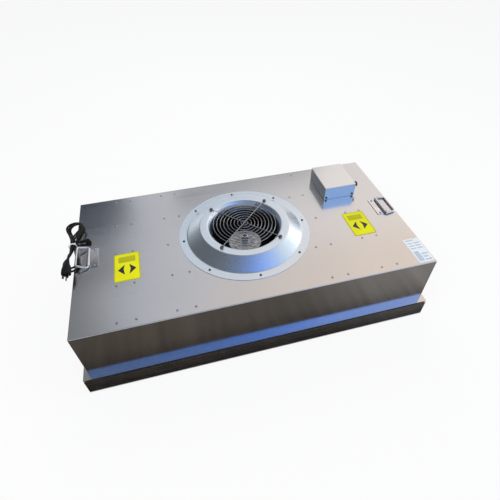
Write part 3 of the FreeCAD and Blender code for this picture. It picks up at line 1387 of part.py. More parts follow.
LYING = -math.degrees(math.asin(number("(barrel_radius - bail_radius - bail_rest) / bail_reach")))
handle_plate("right_handle_plate", FreeCAD.Placement())
handle_plate("left_handle_plate", HALF_TURN)
handle_bail("right_bail", LYING, FreeCAD.Placement())
handle_bail("left_bail", number("bail_lift"), HALF_TURN)
for side, name in ((1, "right"), (-1, "left")):
    heads(f"{name}_handle_screws", handle_screws(side), "top + handle_sheet", ROUND_SIDES, "screw_head",
          "screw_head_height")
    flat_plate(f"{name}_direction_plate", f"{side} * sign_centre_x - sign_width / 2",
               "sign_centre_y - sign_depth / 2", "sign_width", "sign_depth")
flat_plate("rating_plate", "rating_left", "rating_front", "rating_width", "rating_depth")

strain_relief()
power_cord()
cord_hank()
cord_tie()
cord_tail()
plug_body()
plug_pins()

document.recompute()

# ------------------------------------------------------------------------------------------
# Check and write
# ------------------------------------------------------------------------------------------
faults = [item.Label for item in document.Objects if {"Invalid", "Error"} & set(item.State)]
for item in finished:
    if item.Shape.isNull() or not item.Shape.isValid() or not item.Shape.Solids:
        faults.append(item.Label)
if faults:
    raise RuntimeError(f"these failed: {sorted(set(faults))}")
os.makedirs("parts", exist_ok=True)
for item in finished:
    item.Shape.exportStep(f"parts/{item.Label}.step")
print(len(finished), "sub-parts written")
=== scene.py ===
import math
import bmesh
import bpy
from mathutils import Matrix, Vector


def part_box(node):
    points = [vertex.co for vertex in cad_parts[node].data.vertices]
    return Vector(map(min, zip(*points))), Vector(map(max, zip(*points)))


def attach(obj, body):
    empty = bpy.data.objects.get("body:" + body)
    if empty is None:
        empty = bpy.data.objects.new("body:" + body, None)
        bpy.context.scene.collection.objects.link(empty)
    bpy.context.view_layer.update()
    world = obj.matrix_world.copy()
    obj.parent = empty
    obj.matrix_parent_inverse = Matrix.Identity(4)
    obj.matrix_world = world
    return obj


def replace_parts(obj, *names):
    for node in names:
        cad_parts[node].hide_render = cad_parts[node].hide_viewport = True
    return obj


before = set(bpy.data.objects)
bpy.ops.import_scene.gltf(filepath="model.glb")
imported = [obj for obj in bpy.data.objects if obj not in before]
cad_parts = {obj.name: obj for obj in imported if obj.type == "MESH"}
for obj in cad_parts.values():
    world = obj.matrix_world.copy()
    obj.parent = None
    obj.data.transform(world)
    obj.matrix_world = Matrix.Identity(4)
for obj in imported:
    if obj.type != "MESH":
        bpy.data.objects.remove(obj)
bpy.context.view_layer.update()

# ------------------------------------------------------------------------------------------
# Camera
# A wide lens 1.2 metres above the floor, in front of the unit and a little left of its
# middle. It looks down at about 45 degrees and some 15 degrees to the right.
# ------------------------------------------------------------------------------------------
eye = bpy.data.objects.new("camera", bpy.data.cameras.new("camera"))
bpy.context.collection.objects.link(eye)
eye.data.lens, eye.data.sensor_width = 27.494, 36.0
eye.data.shift_x, eye.data.shift_y = -0.00899, -0.01797
eye.location = (-0.21678, -0.96908, 1.18623)
eye.rotation_euler = [math.radians(angle) for angle in (45.793, 0.212, -14.801)]
bpy.context.scene.camera = eye
bpy.context.scene.view_settings.view_transform = "Standard"

# ------------------------------------------------------------------------------------------
# Studio
# A white floor under a white sky, pale even light and three lamps. Polished sheet shows
# what stands round it, so coloured studio flats stand where it mirrors them.
# ------------------------------------------------------------------------------------------
def add(tree, kind, feeds=None, **settings):
    """A node with its settings and with values or other nodes' outputs on its inputs."""
    node = tree.nodes.new(kind)
    for name, value in settings.items():
        setattr(node, name, value)
    for socket, value in (feeds or {}).items():
        if isinstance(value, tuple) and isinstance(value[0], bpy.types.Node):
            tree.links.new(value[0].outputs[value[1]], node.inputs[socket])
        else:
            node.inputs[socket].default_value = value
    return node


def seen_white(tree):
    """1 for a ray that the camera, a mirror or a glass sends, and 0 for a ray of light."""
    path = add(tree, "ShaderNodeLightPath")
    either = add(tree, "ShaderNodeMath", {0: (path, "Is Camera Ray"), 1: (path, "Is Glossy Ray")},
                 operation="MAXIMUM")
    return add(tree, "ShaderNodeMath", {0: (either, 0), 1: (path, "Is Transmission Ray")},
               operation="MAXIMUM")


def board(name, corners):
    """A flat sheet through its corners that is part of the studio and not of the unit."""
    mesh = bpy.data.meshes.new(name)
    mesh.from_pydata(corners, [], [tuple(range(len(corners)))])
    sheet = bpy.data.objects.new(name, mesh)
    bpy.context.collection.objects.link(sheet)
    return sheet


def ramp(tree, source, stops):
    """A ramp of colours on a value, from pairs of a place on it and a colour."""
    node = add(tree, "ShaderNodeValToRGB", {0: source})
    while len(node.color_ramp.elements) < len(stops):
        node.color_ramp.elements.new(0.5)
    for element, (position, colour) in zip(node.color_ramp.elements, stops):
        element.position, element.color = position, (*colour, 1.0)
    return node


def flat(name, corners, across, stops, strength=1.0, shadow_fade=(), streaks=0.0):
    """A glowing studio flat that only mirrors see. Its colours run along x or y, a fade of painted
    shadow darkens it along y, and streaks is how far its light goes up and down in narrow streaks."""
    sheet = board(name, corners)
    paint = bpy.data.materials.new(name)
    paint.use_nodes = True
    tree = paint.node_tree
    tree.nodes.clear()
    place = add(tree, "ShaderNodeTexCoord")
    parts = add(tree, "ShaderNodeSeparateXYZ", {0: (place, "Object")})
    axis = "xyz".index(across)
    low, high = min(corner[axis] for corner in corners), max(corner[axis] for corner in corners)
    share = add(tree, "ShaderNodeMapRange", {0: (parts, axis), 1: low, 2: high})
    glow = add(tree, "ShaderNodeEmission", {0: (ramp(tree, (share, 0), stops), 0), 1: strength})
    # The shadow fade is painted shadow: it darkens the flat along y, toward the unit
    if shadow_fade:
        front, back = min(corner[1] for corner in corners), max(corner[1] for corner in corners)
        depth = add(tree, "ShaderNodeMapRange", {0: (parts, 1), 1: front, 2: back})
        shade = ramp(tree, (depth, 0), [(position, [level] * 3) for position, level in shadow_fade])
        stretch = add(tree, "ShaderNodeMapping", {0: (place, "Object"), 3: (46.0, 1.5, 1.0)})
        noise = add(tree, "ShaderNodeTexNoise", {0: (stretch, 0), "Scale": 1.0, "Detail": 3.0})
        uneven = add(tree, "ShaderNodeMapRange", {0: (noise, 0), 1: 0.3, 2: 0.7,
                                                  3: 1.0 - streaks, 4: 1.0 + streaks})
        level = add(tree, "ShaderNodeMath", {0: (shade, 0), 1: (uneven, 0)}, operation="MULTIPLY")
        level = add(tree, "ShaderNodeMath", {0: (level, 0), 1: strength}, operation="MULTIPLY")
        tree.links.new(level.outputs[0], glow.inputs[1])
    add(tree, "ShaderNodeOutputMaterial", {0: (glow, 0)})
    sheet.data.materials.append(paint)
    sheet.visible_camera = sheet.visible_diffuse = sheet.visible_shadow = False
    sheet.visible_transmission = False


sky = bpy.context.scene.world or bpy.data.worlds.new("sky")
bpy.context.scene.world = sky
sky.use_nodes = True
sky.node_tree.nodes.clear()
soft = add(sky.node_tree, "ShaderNodeBackground", {0: (0.93, 0.96, 1.0, 1.0), 1: 0.62})
white = add(sky.node_tree, "ShaderNodeBackground", {0: (1.0, 1.0, 1.0, 1.0), 1: 1.0})
either = add(sky.node_tree, "ShaderNodeMixShader",
             {0: (seen_white(sky.node_tree), 0), 1: (soft, 0), 2: (white, 0)})
add(sky.node_tree, "ShaderNodeOutputWorld", {0: (either, 0)})

# The floor is matt where light falls on it, and mostly plain white to the camera and mirrors
reach, floor_glow = 6.0, 0.86
floor = board("floor", [(-reach, -reach, 0.0), (reach, -reach, 0.0), (reach, reach, 0.0),
                        (-reach, reach, 0.0)])
floor_paint = bpy.data.materials.new("studio_floor")
floor_paint.use_nodes = True
tree = floor_paint.node_tree
tree.nodes.clear()
matt = add(tree, "ShaderNodeBsdfDiffuse", {0: (0.88, 0.88, 0.88, 1.0)})
bright = add(tree, "ShaderNodeEmission", {0: (1.0, 1.0, 1.0, 1.0), 1: 1.0})
most = add(tree, "ShaderNodeMath", {0: (seen_white(tree), 0), 1: floor_glow},
           operation="MULTIPLY")
both = add(tree, "ShaderNodeMixShader", {0: (most, 0), 1: (matt, 0), 2: (bright, 0)})
add(tree, "ShaderNodeOutputMaterial", {0: (both, 0)})
floor.data.materials.append(floor_paint)

lamp_aim = Vector((0.0, 0.0, 0.2))
for name, place, size, power, colour in (
        ("key_lamp", (-1.6, -1.2, 2.6), 1.4, 24.0, (1.0, 0.98, 0.95)),
        ("fill_lamp", (2.2, -0.8, 2.2), 1.6, 16.0, (0.9, 0.95, 1.0)),
        ("back_lamp", (0.3, 2.0, 2.4), 1.8, 16.0, (1.0, 1.0, 1.0))):
    lamp = bpy.data.lights.new(name, "AREA")
    lamp.energy, lamp.size, lamp.color = power, size, colour
    stand = bpy.data.objects.new(name, lamp)
    stand.location = place
    stand.rotation_euler = (lamp_aim - stand.location).to_track_quat("-Z", "Y").to_euler()
    stand.visible_glossy = False
    bpy.context.collection.objects.link(stand)

# Behind the unit, where the panel and the box's top mirror it: a wall that pales to the right,
# with a doorway, two beams and a warmer upper part
flat("hall_wall", [(-4.5, 3.4, 0.9), (7.5, 3.4, 0.9), (7.5, 3.4, 9.0), (-4.5, 3.4, 9.0)], "x", [
    (0.0, (0.12, 0.125, 0.13)), (0.20, (0.20, 0.21, 0.22)), (0.25, (0.46, 0.48, 0.52)),
    (0.40, (0.58, 0.59, 0.62)), (0.50, (0.72, 0.70, 0.70)), (0.66, (0.86, 0.79, 0.74)),
    (1.0, (1.0, 0.92, 0.86))], 1.45)
flat("dark_doorway", [(-2.6, 3.0, 1.5), (-0.90, 3.0, 1.5), (-0.74, 3.0, 2.50), (-1.15, 3.0, 2.86),
                      (-2.6, 3.0, 2.86)], "x", [
    (0.0, (0.02, 0.035, 0.06)), (0.7, (0.03, 0.05, 0.08)), (1.0, (0.09, 0.11, 0.14))])
flat("dark_beam", [(-2.8, 3.0, 3.0), (-0.95, 3.0, 3.14), (-1.1, 3.0, 3.56), (-2.8, 3.0, 3.64)],
     "x", [(0.0, (0.09, 0.09, 0.095)), (0.8, (0.14, 0.14, 0.14)), (1.0, (0.30, 0.30, 0.31))])
flat("warm_wall", [(-0.2, 3.35, 4.5), (0.6, 3.35, 3.9), (7.5, 3.35, 4.3), (7.5, 3.35, 9.0),
                   (-0.2, 3.35, 9.0)], "x", [
    (0.0, (0.58, 0.56, 0.56)), (0.26, (0.70, 0.62, 0.56)), (0.55, (0.80, 0.68, 0.58)),
    (1.0, (0.84, 0.72, 0.62))], 1.45)
flat("grey_beam", [(-0.2, 3.0, 2.12), (1.75, 3.0, 1.85), (1.75, 3.0, 2.28), (-0.2, 3.0, 2.52)],
     "x", [(0.0, (0.24, 0.27, 0.31)), (0.5, (0.32, 0.33, 0.34)), (1.0, (0.42, 0.42, 0.42))])

# At the two ends and overhead, for the ends of the case, the handles and the inlet
flat("grey_curtain", [(-3.2, -3.0, 0.2), (-3.2, 2.4, 0.2), (-2.7, 2.4, 4.6), (-2.7, -3.0, 4.6)],
     "y", [(0.0, (0.20, 0.22, 0.25)), (0.5, (0.13, 0.135, 0.145)), (1.0, (0.14, 0.14, 0.15))])
flat("bright_door", [(5.5, -1.2, 0.3), (5.5, 2.6, 0.3), (5.5, 2.6, 2.4), (5.5, -1.2, 2.4)], "y", [
    (0.0, (1.0, 1.0, 1.0)), (1.0, (1.0, 1.0, 1.0))], 2.6)
flat("pale_canopy", [(-3.2, -1.86, 3.02), (3.8, -1.86, 3.02), (3.8, 0.6, 3.02), (-3.2, 0.6, 3.02)],
     "x", [(0.0, (0.13, 0.135, 0.145)), (0.42, (0.20, 0.22, 0.25)), (0.58, (0.36, 0.43, 0.54)),
           (0.82, (0.60, 0.74, 0.96)), (1.0, (0.95, 1.0, 1.0))])

# A brown workshop floor before the unit, which the front wall mirrors; painted shadow darkens it
# toward the unit's foot
flat("workshop_floor", [(-1.3, -1.5, 0.004), (1.6, -1.5, 0.004), (1.6, -0.307, 0.004),
                        (-1.3, -0.307, 0.004)], "x", [
    (0.0, (0.090, 0.078, 0.066)), (0.30, (0.125, 0.104, 0.085)), (0.5, (0.13, 0.115, 0.10)),
    (0.66, (0.30, 0.28, 0.26)), (1.0, (0.46, 0.43, 0.41))], 1.0,
     [(0.0, 1.0), (0.86, 0.95), (0.915, 0.80), (0.96, 0.30), (1.0, 0.10)], 0.22)

# Blue skylights overhead in front, which the flange and the inlet's cone mirror
flat("dusk_skylight", [(-2.2, -3.6, 3.0), (1.15, -3.6, 3.0), (1.15, -2.35, 3.0),
                       (-2.2, -2.35, 3.0)], "x", [
    (0.0, (0.07, 0.12, 0.24)), (1.0, (0.08, 0.20, 0.52))], 1.2)
flat("blue_skylight", [(-2.2, -2.35, 3.0), (3.6, -2.35, 3.0), (3.6, -1.86, 3.0),
                       (-2.2, -1.86, 3.0)], "x", [
    (0.0, (0.09, 0.17, 0.36)), (0.28, (0.07, 0.19, 0.56)), (0.48, (0.05, 0.25, 1.0)),
    (0.70, (0.09, 0.28, 1.0)), (1.0, (0.30, 0.42, 1.0))], 2.3)
flat("blue_window", [(1.2, -3.7, 3.0), (3.2, -3.7, 3.0), (3.2, -2.7, 3.0), (1.2, -2.7, 3.0)], "x", [
    (0.0, (0.14, 0.44, 1.0)), (1.0, (0.16, 0.46, 1.0))], 2.3)

# ------------------------------------------------------------------------------------------
# Mains cord
# A rubber lead of about 1.4 metres that leaves the panel through its strain relief and lies
# folded in a hank on the panel's left end, held by a tie, with its plug on the hank.
# ------------------------------------------------------------------------------------------
def finish(name, colour, metallic, roughness, grain, grain_depth, mottle, mottle_size,
           sheen_range):
    """A finish with a fine grain, uneven roughness and a colour that drifts over the piece.
    Grain is how fine it is, for all axes or for x, y and z, and mottle is how far it darkens."""
    paint = bpy.data.materials.new(name)
    paint.use_nodes = True
    tree = paint.node_tree
    shader = tree.nodes["Principled BSDF"]
    shader.inputs["Metallic"].default_value = metallic
    place = add(tree, "ShaderNodeTexCoord")
    scale = grain if isinstance(grain, tuple) else (grain, grain, grain)
    stretch = add(tree, "ShaderNodeMapping", {0: (place, "Object"), 3: scale})
    fine = add(tree, "ShaderNodeTexNoise", {0: (stretch, 0), "Scale": 1.0, "Detail": 3.0})
    cloud = add(tree, "ShaderNodeTexNoise", {0: (place, "Object"), "Scale": mottle_size,
                                             "Detail": 4.0})
    ease = add(tree, "ShaderNodeMapRange", {0: (cloud, 0), 1: 0.32, 2: 0.68})
    darker = [channel * (1.0 - mottle) for channel in colour]
    tint = add(tree, "ShaderNodeMix", {0: (ease, 0), 6: (*darker, 1.0), 7: (*colour, 1.0)},
               data_type="RGBA")
    tree.links.new(tint.outputs[2], shader.inputs["Base Color"])
    gloss = add(tree, "ShaderNodeMapRange", {0: (fine, 0), 1: 0.3, 2: 0.7,
                                             3: roughness - sheen_range,
                                             4: roughness + sheen_range})
    tree.links.new(gloss.outputs[0], shader.inputs["Roughness"])
    relief = add(tree, "ShaderNodeBump", {"Strength": 0.5, "Distance": grain_depth,
                                          "Height": (fine, 0)})
    tree.links.new(relief.outputs[0], shader.inputs["Normal"])
    return paint


def dress(paint, *names):
    """Puts a finish on pieces that come with the frame."""
    for name in names:
        piece = bpy.data.objects[name]
        if not piece.material_slots:
            piece.data.materials.append(None)
        for slot in piece.material_slots:
            slot.link = "OBJECT"
            slot.material = paint


rubber = finish("lead_rubber", (0.012, 0.012, 0.013), 0.0, 0.34, 900.0, 0.0001, 0.4, 40.0, 0.08)
rubber.node_tree.nodes["Principled BSDF"].inputs["Specular IOR Level"].default_value = 0.12

# The route is in millimetres, with heights above the panel: the strands lie in three rows
panel_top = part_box("top_case")[1][2]
row_low, row_middle, row_high = 5.1, 12.1, 19.1
lead_route = [(-554, 80, 9), (-569, 82, 12.1), (-579, 92, 12.1), (-588, 110, 12.1)]


def fold(middle_x, middle_y, radius, start, stop, low, high, points=7):
    """Control points of a turn in the lead, so that the lead itself keeps the radius."""
    reach = radius / math.cos(math.radians(abs(stop - start) / (points - 1) / 2))
    for index in range(points):
        share = index / (points - 1)
        angle = math.radians(start + (stop - start) * share)
        lead_route.append((middle_x + reach * math.cos(angle),
                           middle_y + reach * math.sin(angle), low + (high - low) * share))


fold(-577, 159, 27, 200, -25, row_middle, row_low)
lead_route += [(-561, 120, row_low), (-569, 100, row_low), (-569.5, 70, row_low),
               (-569, 40, row_low), (-564.5, 12, row_low)]
fold(-577, -26.5, 22, 22, -202, row_low, row_low)
lead_route += [(-589.5, 12, row_low), (-585.5, 40, row_low), (-585.5, 70, row_low),
               (-586, 98, row_low), (-593, 122, row_low)]
fold(-577.5, 156, 22, 202, -22, row_low, row_middle + 1.2)
lead_route += [(-567, 117, 18.5), (-576, 100, row_high + 0.4), (-578, 86, row_high + 0.3),
               (-571.5, 64, row_middle + 1), (-569.5, 42, row_middle),
               (-564.5, 14, row_middle)]
fold(-577, -19, 22, 22, -200, row_middle, row_middle + 0.6)
lead_route += [(-589, 16, row_middle - 6.2), (-579, 38, row_low + 2.8), (-577.5, 55, row_low),
               (-577.5, 72, row_low), (-577.5, 98, row_low), (-582.5, 116, row_low + 1.5)]
fold(-569.5, 146, 22, 200, -25, row_low + 5, row_high + 3.5)
lead_route += [(-556, 112, row_high + 2.6), (-565, 96, row_high + 2.6),
               (-571.5, 80, row_high + 3.2), (-577.5, 60, row_high + 0.8), (-578, 42, row_high),
               (-578, 25, 18.7), (-583, 4, 26), (-583, -13, 26)]
lead_line = bpy.data.curves.new("mains_lead", "CURVE")
lead_line.dimensions = "3D"
strand = lead_line.splines.new("NURBS")
strand.points.add(len(lead_route) - 1)
for point, (x, y, z) in zip(strand.points, lead_route):
    point.co = (x / 1000.0, y / 1000.0, panel_top + z / 1000.0, 1.0)
strand.order_u = 3
strand.use_endpoint_u = True
lead_line.resolution_u = 10
lead_radius = 0.0034
lead_line.bevel_depth, lead_line.bevel_resolution = lead_radius, 4
lead = bpy.data.objects.new("mains_lead", lead_line)
bpy.context.collection.objects.link(lead)
lead_line.materials.append(rubber)
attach(lead, "base")
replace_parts(lead, "power_cord", "cord_hank", "cord_tail")


def piece_of(name, mesh, paint, body, smooth=True):
    """A finished mesh as a piece that rides on a body of the frame."""
    piece = bpy.data.objects.new(name, mesh)
    bpy.context.collection.objects.link(piece)
    mesh.materials.clear()
    mesh.materials.append(paint)
    if smooth:
        for polygon in mesh.polygons:
            polygon.use_smooth = True
        mesh.set_sharp_from_angle(angle=math.radians(36.0))
    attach(piece, body)
    return piece


def skinned(name, rings, closed=False):
    """A mesh through rings of points, capped at both ends or closed from last ring to first."""
    shape = bmesh.new()
    rows = [[shape.verts.new(point) for point in ring] for ring in rings]
    count = len(rows[0])
    for index in range(len(rows) if closed else len(rows) - 1):
        first, second = rows[index], rows[(index + 1) % len(rows)]
        for corner in range(count):
            following = (corner + 1) % count
            shape.faces.new((first[corner], first[following], second[following], second[corner]))
    if not closed:
        shape.faces.new(rows[0])
        shape.faces.new(rows[-1])
    bmesh.ops.recalc_face_normals(shape, faces=shape.faces)
    mesh = bpy.data.meshes.new(name)
    shape.to_mesh(mesh)
    shape.free()
    return mesh


def circle(radius, level, sides, x=0.0, y=0.0):
    """Points round an upright axis, all at one level."""
    return [(x + radius * math.cos(2 * math.pi * turn / sides),
             y + radius * math.sin(2 * math.pi * turn / sides), level) for turn in range(sides)]


# The moulded strain relief stands in the panel and turns the lead to the left
neck_x, neck_y, spout_z = -0.530, 0.080, panel_top + 0.009
stem = [(-0.0042, 0.0062), (0.0, 0.0062), (0.0, 0.0094), (0.0022, 0.0095), (0.0026, 0.0091),
        (0.003, 0.0078), (0.009, 0.0075), (0.0125, 0.0068), (0.0152, 0.0048), (0.0163, 0.001)]
rings = [circle(radius, panel_top + height, 32, neck_x, neck_y) for height, radius in stem]
relief_stem = piece_of("strain_relief_stem", skinned("strain_relief_stem", rings), rubber, "base")
spout_length, spout_ribs = 0.024, 12
rings = []
for rib in range(spout_ribs + 1):
    reach = spout_length * rib / spout_ribs
    groove = 0.0009 if rib % 2 and rib > 2 else 0.0
    radius = 0.0074 - 0.0029 * rib / spout_ribs - groove
    for step in (-0.0004, 0.0004):
        x = neck_x - min(max(reach + step, 0.0), spout_length)
        rings.append([(x, neck_y + radius * math.cos(turn * math.pi / 12),
                       spout_z + radius * math.sin(turn * math.pi / 12)) for turn in range(24)])
relief_spout = piece_of("strain_relief_spout", skinned("strain_relief_spout", rings), rubber,
                        "base")
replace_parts(relief_stem, "strain_relief")
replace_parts(relief_spout, "strain_relief")

# The moulded plug: tapered ribbed tail, soft shoulders and a flat face with three blades.
# Each row is its distance from the tail's end, half its width and half its height, in mm
plug_low, plug_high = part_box("plug_body")
plug_x, plug_z = (plug_low[0] + plug_high[0]) / 2, (plug_low[2] + plug_high[2]) / 2
tail_end = 20.0
rings = []
for back, wide, high in (
        (0.0, 4.4, 4.4), (0.6, 4.9, 4.9), (5.0, 5.2, 5.2), (5.3, 4.4, 4.4), (7.7, 4.6, 4.6),
        (8.0, 5.8, 5.8), (12.0, 6.2, 6.2), (12.3, 5.2, 5.2), (14.7, 5.5, 5.5), (15.0, 6.8, 6.6),
        (22.0, 8.6, 7.6), (28.0, 11.0, 8.8), (36.0, 13.4, 10.0), (48.0, 15.2, 10.8),
        (62.0, 15.4, 10.9), (64.8, 14.8, 10.4), (66.0, 13.0, 8.8)):
    squareness, fill = (0.0, 1.0) if back < tail_end else (0.55, 0.93)
    ring = []
    for turn in range(32):
        angle = turn * math.pi / 16
        across, up = math.cos(angle), math.sin(angle)
        square = max(abs(across), abs(up)) ** squareness
        ring.append((plug_x + wide * across / square / 1000.0 * fill,
                     plug_high[1] - back / 1000.0,
                     plug_z + high * up / square / 1000.0 * fill))
    rings.append(ring)
plug = piece_of("mains_plug", skinned("mains_plug", rings), rubber, "base")
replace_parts(plug, "plug_body")
# The blades are painted nearly black: painted shade for the shadow they lie in, not the brass's own
# colour
shaded_brass = finish("blade_brass_painted_shade", (0.10, 0.09, 0.07), 1.0, 0.30, (300.0, 40.0, 300.0), 0.00003, 0.15,
               30.0, 0.06)
dress(shaded_brass, "plug_pins")

# A flat white plastic tie round the waist of the hank
tie_paint = finish("tie_plastic", (0.82, 0.83, 0.84), 0.0, 0.42, 400.0, 0.0001, 0.06, 60.0, 0.05)
tie_low, tie_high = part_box("cord_tie")
tie_x, tie_z = (tie_low[0] + tie_high[0]) / 2, (tie_low[2] + tie_high[2]) / 2
tie_inset, band_share = 0.0008, 0.09
rings = []
for across, up in ((-0.5, -0.5), (-0.5, 0.12), (-0.42, 0.36), (-0.2, 0.5), (0.24, 0.5),
                   (0.44, 0.36), (0.5, 0.1), (0.5, -0.5)):
    x = tie_x + across * (tie_high[0] - tie_low[0] - tie_inset)
    z = tie_z + up * (tie_high[2] - tie_low[2] - tie_inset)
    inner_x, inner_z = x + (tie_x - x) * band_share, z + (tie_z - z) * band_share
    rings.append([(x, tie_low[1], z), (x, tie_high[1], z), (inner_x, tie_high[1], inner_z),
                  (inner_x, tie_low[1], inner_z)])
tie = piece_of("hank_tie", skinned("hank_tie", rings, closed=True), tie_paint, "base")
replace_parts(tie, "cord_tie")

# ------------------------------------------------------------------------------------------
# Filter
# A panel filter closes the underside: a folded aluminium frame, a pleated glass-paper pack
# cast into white sealing compound, and a white lattice that guards the paper.
# ------------------------------------------------------------------------------------------
def group(name, inputs):
    """A new geometry tree with its named inputs, its input node and its output node."""
    tree = bpy.data.node_groups.new(name, "GeometryNodeTree")
    for label, kind, value in inputs:
        socket = tree.interface.new_socket(name=label, in_out="INPUT", socket_type=kind)
        if value is not None:
            socket.default_value = value
    tree.interface.new_socket(name="Result", in_out="OUTPUT", socket_type="NodeSocketGeometry")
    return tree, add(tree, "NodeGroupInput")


def close(tree, geometry, source):
    """Ends a tree: its copies are made real and take the material."""
    real = add(tree, "GeometryNodeRealizeInstances", {0: geometry})
    painted = add(tree, "GeometryNodeSetMaterial", {"Geometry": (real, 0),
                                                    "Material": (source, "Material")})
    add(tree, "NodeGroupOutput", {0: (painted, 0)})


def grown(name, tree, values, carrier=None):
    """The plain mesh that a tree makes from its named values."""
    seed = bpy.data.objects.new(name, carrier or bpy.data.meshes.new(name))
    bpy.context.collection.objects.link(seed)
    modifier = seed.modifiers.new("grow", "NODES")
    modifier.node_group = tree
    for item in tree.interface.items_tree:
        if item.in_out == "INPUT" and item.name in values:
            modifier[item.identifier] = values[item.name]
    settled = seed.evaluated_get(bpy.context.evaluated_depsgraph_get())
    mesh = bpy.data.meshes.new_from_object(settled)
    seed.modifiers.remove(modifier)
    bpy.data.objects.remove(seed)
    mesh.name = name
    return mesh


aluminium = finish("mill_aluminium", (0.62, 0.62, 0.63), 1.0, 0.30, (4.0, 300.0, 300.0), 0.00004,
                   0.10, 5.0, 0.06)
compound = finish("sealing_compound", (0.80, 0.79, 0.76), 0.0, 0.50, 30.0, 0.0006, 0.08, 12.0, 0.05)
paper = finish("glass_paper", (0.86, 0.86, 0.85), 0.0, 0.85, 700.0, 0.00008, 0.06, 9.0, 0.04)
white_coat = finish("white_coat", (0.80, 0.81, 0.82), 0.0, 0.40, 500.0, 0.00004, 0.05, 14.0, 0.05)
dress(aluminium, "filter_frame")
dress(compound, "filter_potting")

# The pack: a grid with one row of points for each fold's top and foot
tree, given = group("pleated_pack", [
    ("Length", "NodeSocketFloat", 1.0), ("Depth", "NodeSocketFloat", 0.5),
    ("Height", "NodeSocketFloat", 0.05), ("Low", "NodeSocketFloat", 0.0),
    ("Folds", "NodeSocketInt", 100), ("Material", "NodeSocketMaterial", None)])
columns = add(tree, "ShaderNodeMath", {0: (given, "Folds"), 1: 2.0, 2: 1.0},
              operation="MULTIPLY_ADD")
sheet = add(tree, "GeometryNodeMeshGrid", {"Size X": (given, "Length"), "Size Y": (given, "Depth"),
                                          "Vertices X": (columns, 0), "Vertices Y": 2})
along = add(tree, "ShaderNodeSeparateXYZ", {0: (add(tree, "GeometryNodeInputPosition"), 0)})
half = add(tree, "ShaderNodeMath", {0: (given, "Length"), 1: 0.5}, operation="MULTIPLY")
from_end = add(tree, "ShaderNodeMath", {0: (along, 0), 1: (half, 0)}, operation="ADD")
share = add(tree, "ShaderNodeMath", {0: (from_end, 0), 1: (given, "Length")}, operation="DIVIDE")
column = add(tree, "ShaderNodeMath", {0: (share, 0), 1: (given, "Folds")}, operation="MULTIPLY")
doubled = add(tree, "ShaderNodeMath", {0: (column, 0), 1: 0.5}, operation="PINGPONG")
rise = add(tree, "ShaderNodeMath", {0: (doubled, 0), 1: 2.0}, operation="MULTIPLY")
height = add(tree, "ShaderNodeMath", {0: (rise, 0), 1: (given, "Height"), 2: (given, "Low")},
             operation="MULTIPLY_ADD")
lift = add(tree, "ShaderNodeCombineXYZ", {2: (height, 0)})
folded = add(tree, "GeometryNodeSetPosition", {"Geometry": (sheet, 0), "Offset": (lift, 0)})
close(tree, (folded, 0), given)
pack_low, pack_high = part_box("filter_media")
pack_gap, paper_thickness = 0.0005, 0.0005
pleats = grown("filter_pleats", tree, {
    "Length": pack_high[0] - pack_low[0], "Depth": pack_high[1] - pack_low[1],
    "Height": pack_high[2] - pack_low[2] - 2 * pack_gap, "Low": pack_low[2] + pack_gap,
    "Folds": 180, "Material": paper})
pack = piece_of("filter_pleats", pleats, paper, "base", smooth=False)
thick = pack.modifiers.new("paper", "SOLIDIFY")
thick.thickness, thick.offset = paper_thickness, 0.0
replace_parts(pack, "filter_media")

# The lattice: two sets of bars across each other
tree, given = group("guard_lattice", [
    ("Length", "NodeSocketFloat", 1.0), ("Depth", "NodeSocketFloat", 0.5),
    ("Columns", "NodeSocketInt", 40), ("Rows", "NodeSocketInt", 20),
    ("Bar", "NodeSocketFloat", 0.002), ("Thick", "NodeSocketFloat", 0.001),
    ("Level", "NodeSocketFloat", 0.0), ("Material", "NodeSocketMaterial", None)])
parts = []
for size, count, direction in (("Length", "Columns", 0), ("Depth", "Rows", 1)):
    other = "Depth" if size == "Length" else "Length"
    gaps = add(tree, "ShaderNodeMath", {0: (given, count), 1: 1.0}, operation="SUBTRACT")
    pitch = add(tree, "ShaderNodeMath", {0: (given, size), 1: (gaps, 0)}, operation="DIVIDE")
    start = add(tree, "ShaderNodeMath", {0: (given, size), 1: -0.5}, operation="MULTIPLY")
    base = add(tree, "ShaderNodeCombineXYZ", {direction: (start, 0), 2: (given, "Level")})
    step = add(tree, "ShaderNodeCombineXYZ", {direction: (pitch, 0)})
    line = add(tree, "GeometryNodeMeshLine", {"Count": (given, count), "Start Location": (base, 0),
                                             "Offset": (step, 0)})
    extent = add(tree, "ShaderNodeCombineXYZ", {
        direction: (given, "Bar"), 1 - direction: (given, other), 2: (given, "Thick")})
    bar = add(tree, "GeometryNodeMeshCube", {"Size": (extent, 0)})
    parts.append(add(tree, "GeometryNodeInstanceOnPoints", {"Points": (line, 0),
                                                            "Instance": (bar, 0)}))
crossed = add(tree, "GeometryNodeJoinGeometry")
for part in parts:
    tree.links.new(part.outputs[0], crossed.inputs[0])
close(tree, (crossed, 0), given)
guard_low, guard_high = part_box("filter_guard")
lattice_inset = 0.004
bars = grown("filter_lattice", tree, {
    "Length": guard_high[0] - guard_low[0] - lattice_inset,
    "Depth": guard_high[1] - guard_low[1] - lattice_inset, "Columns": 60, "Rows": 32,
    "Bar": 0.0026, "Thick": guard_high[2] - guard_low[2],
    "Level": (guard_low[2] + guard_high[2]) / 2, "Material": white_coat})
lattice = piece_of("filter_lattice", bars, white_coat, "base", smooth=False)
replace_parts(lattice, "filter_guard")

# A black foam gasket between the filter and the case's flange
foam_rubber = finish("gasket_foam", (0.03, 0.03, 0.032), 0.0, 0.75, 500.0, 0.0003, 0.3, 30.0, 0.1)
dress(foam_rubber, "flange_gasket")

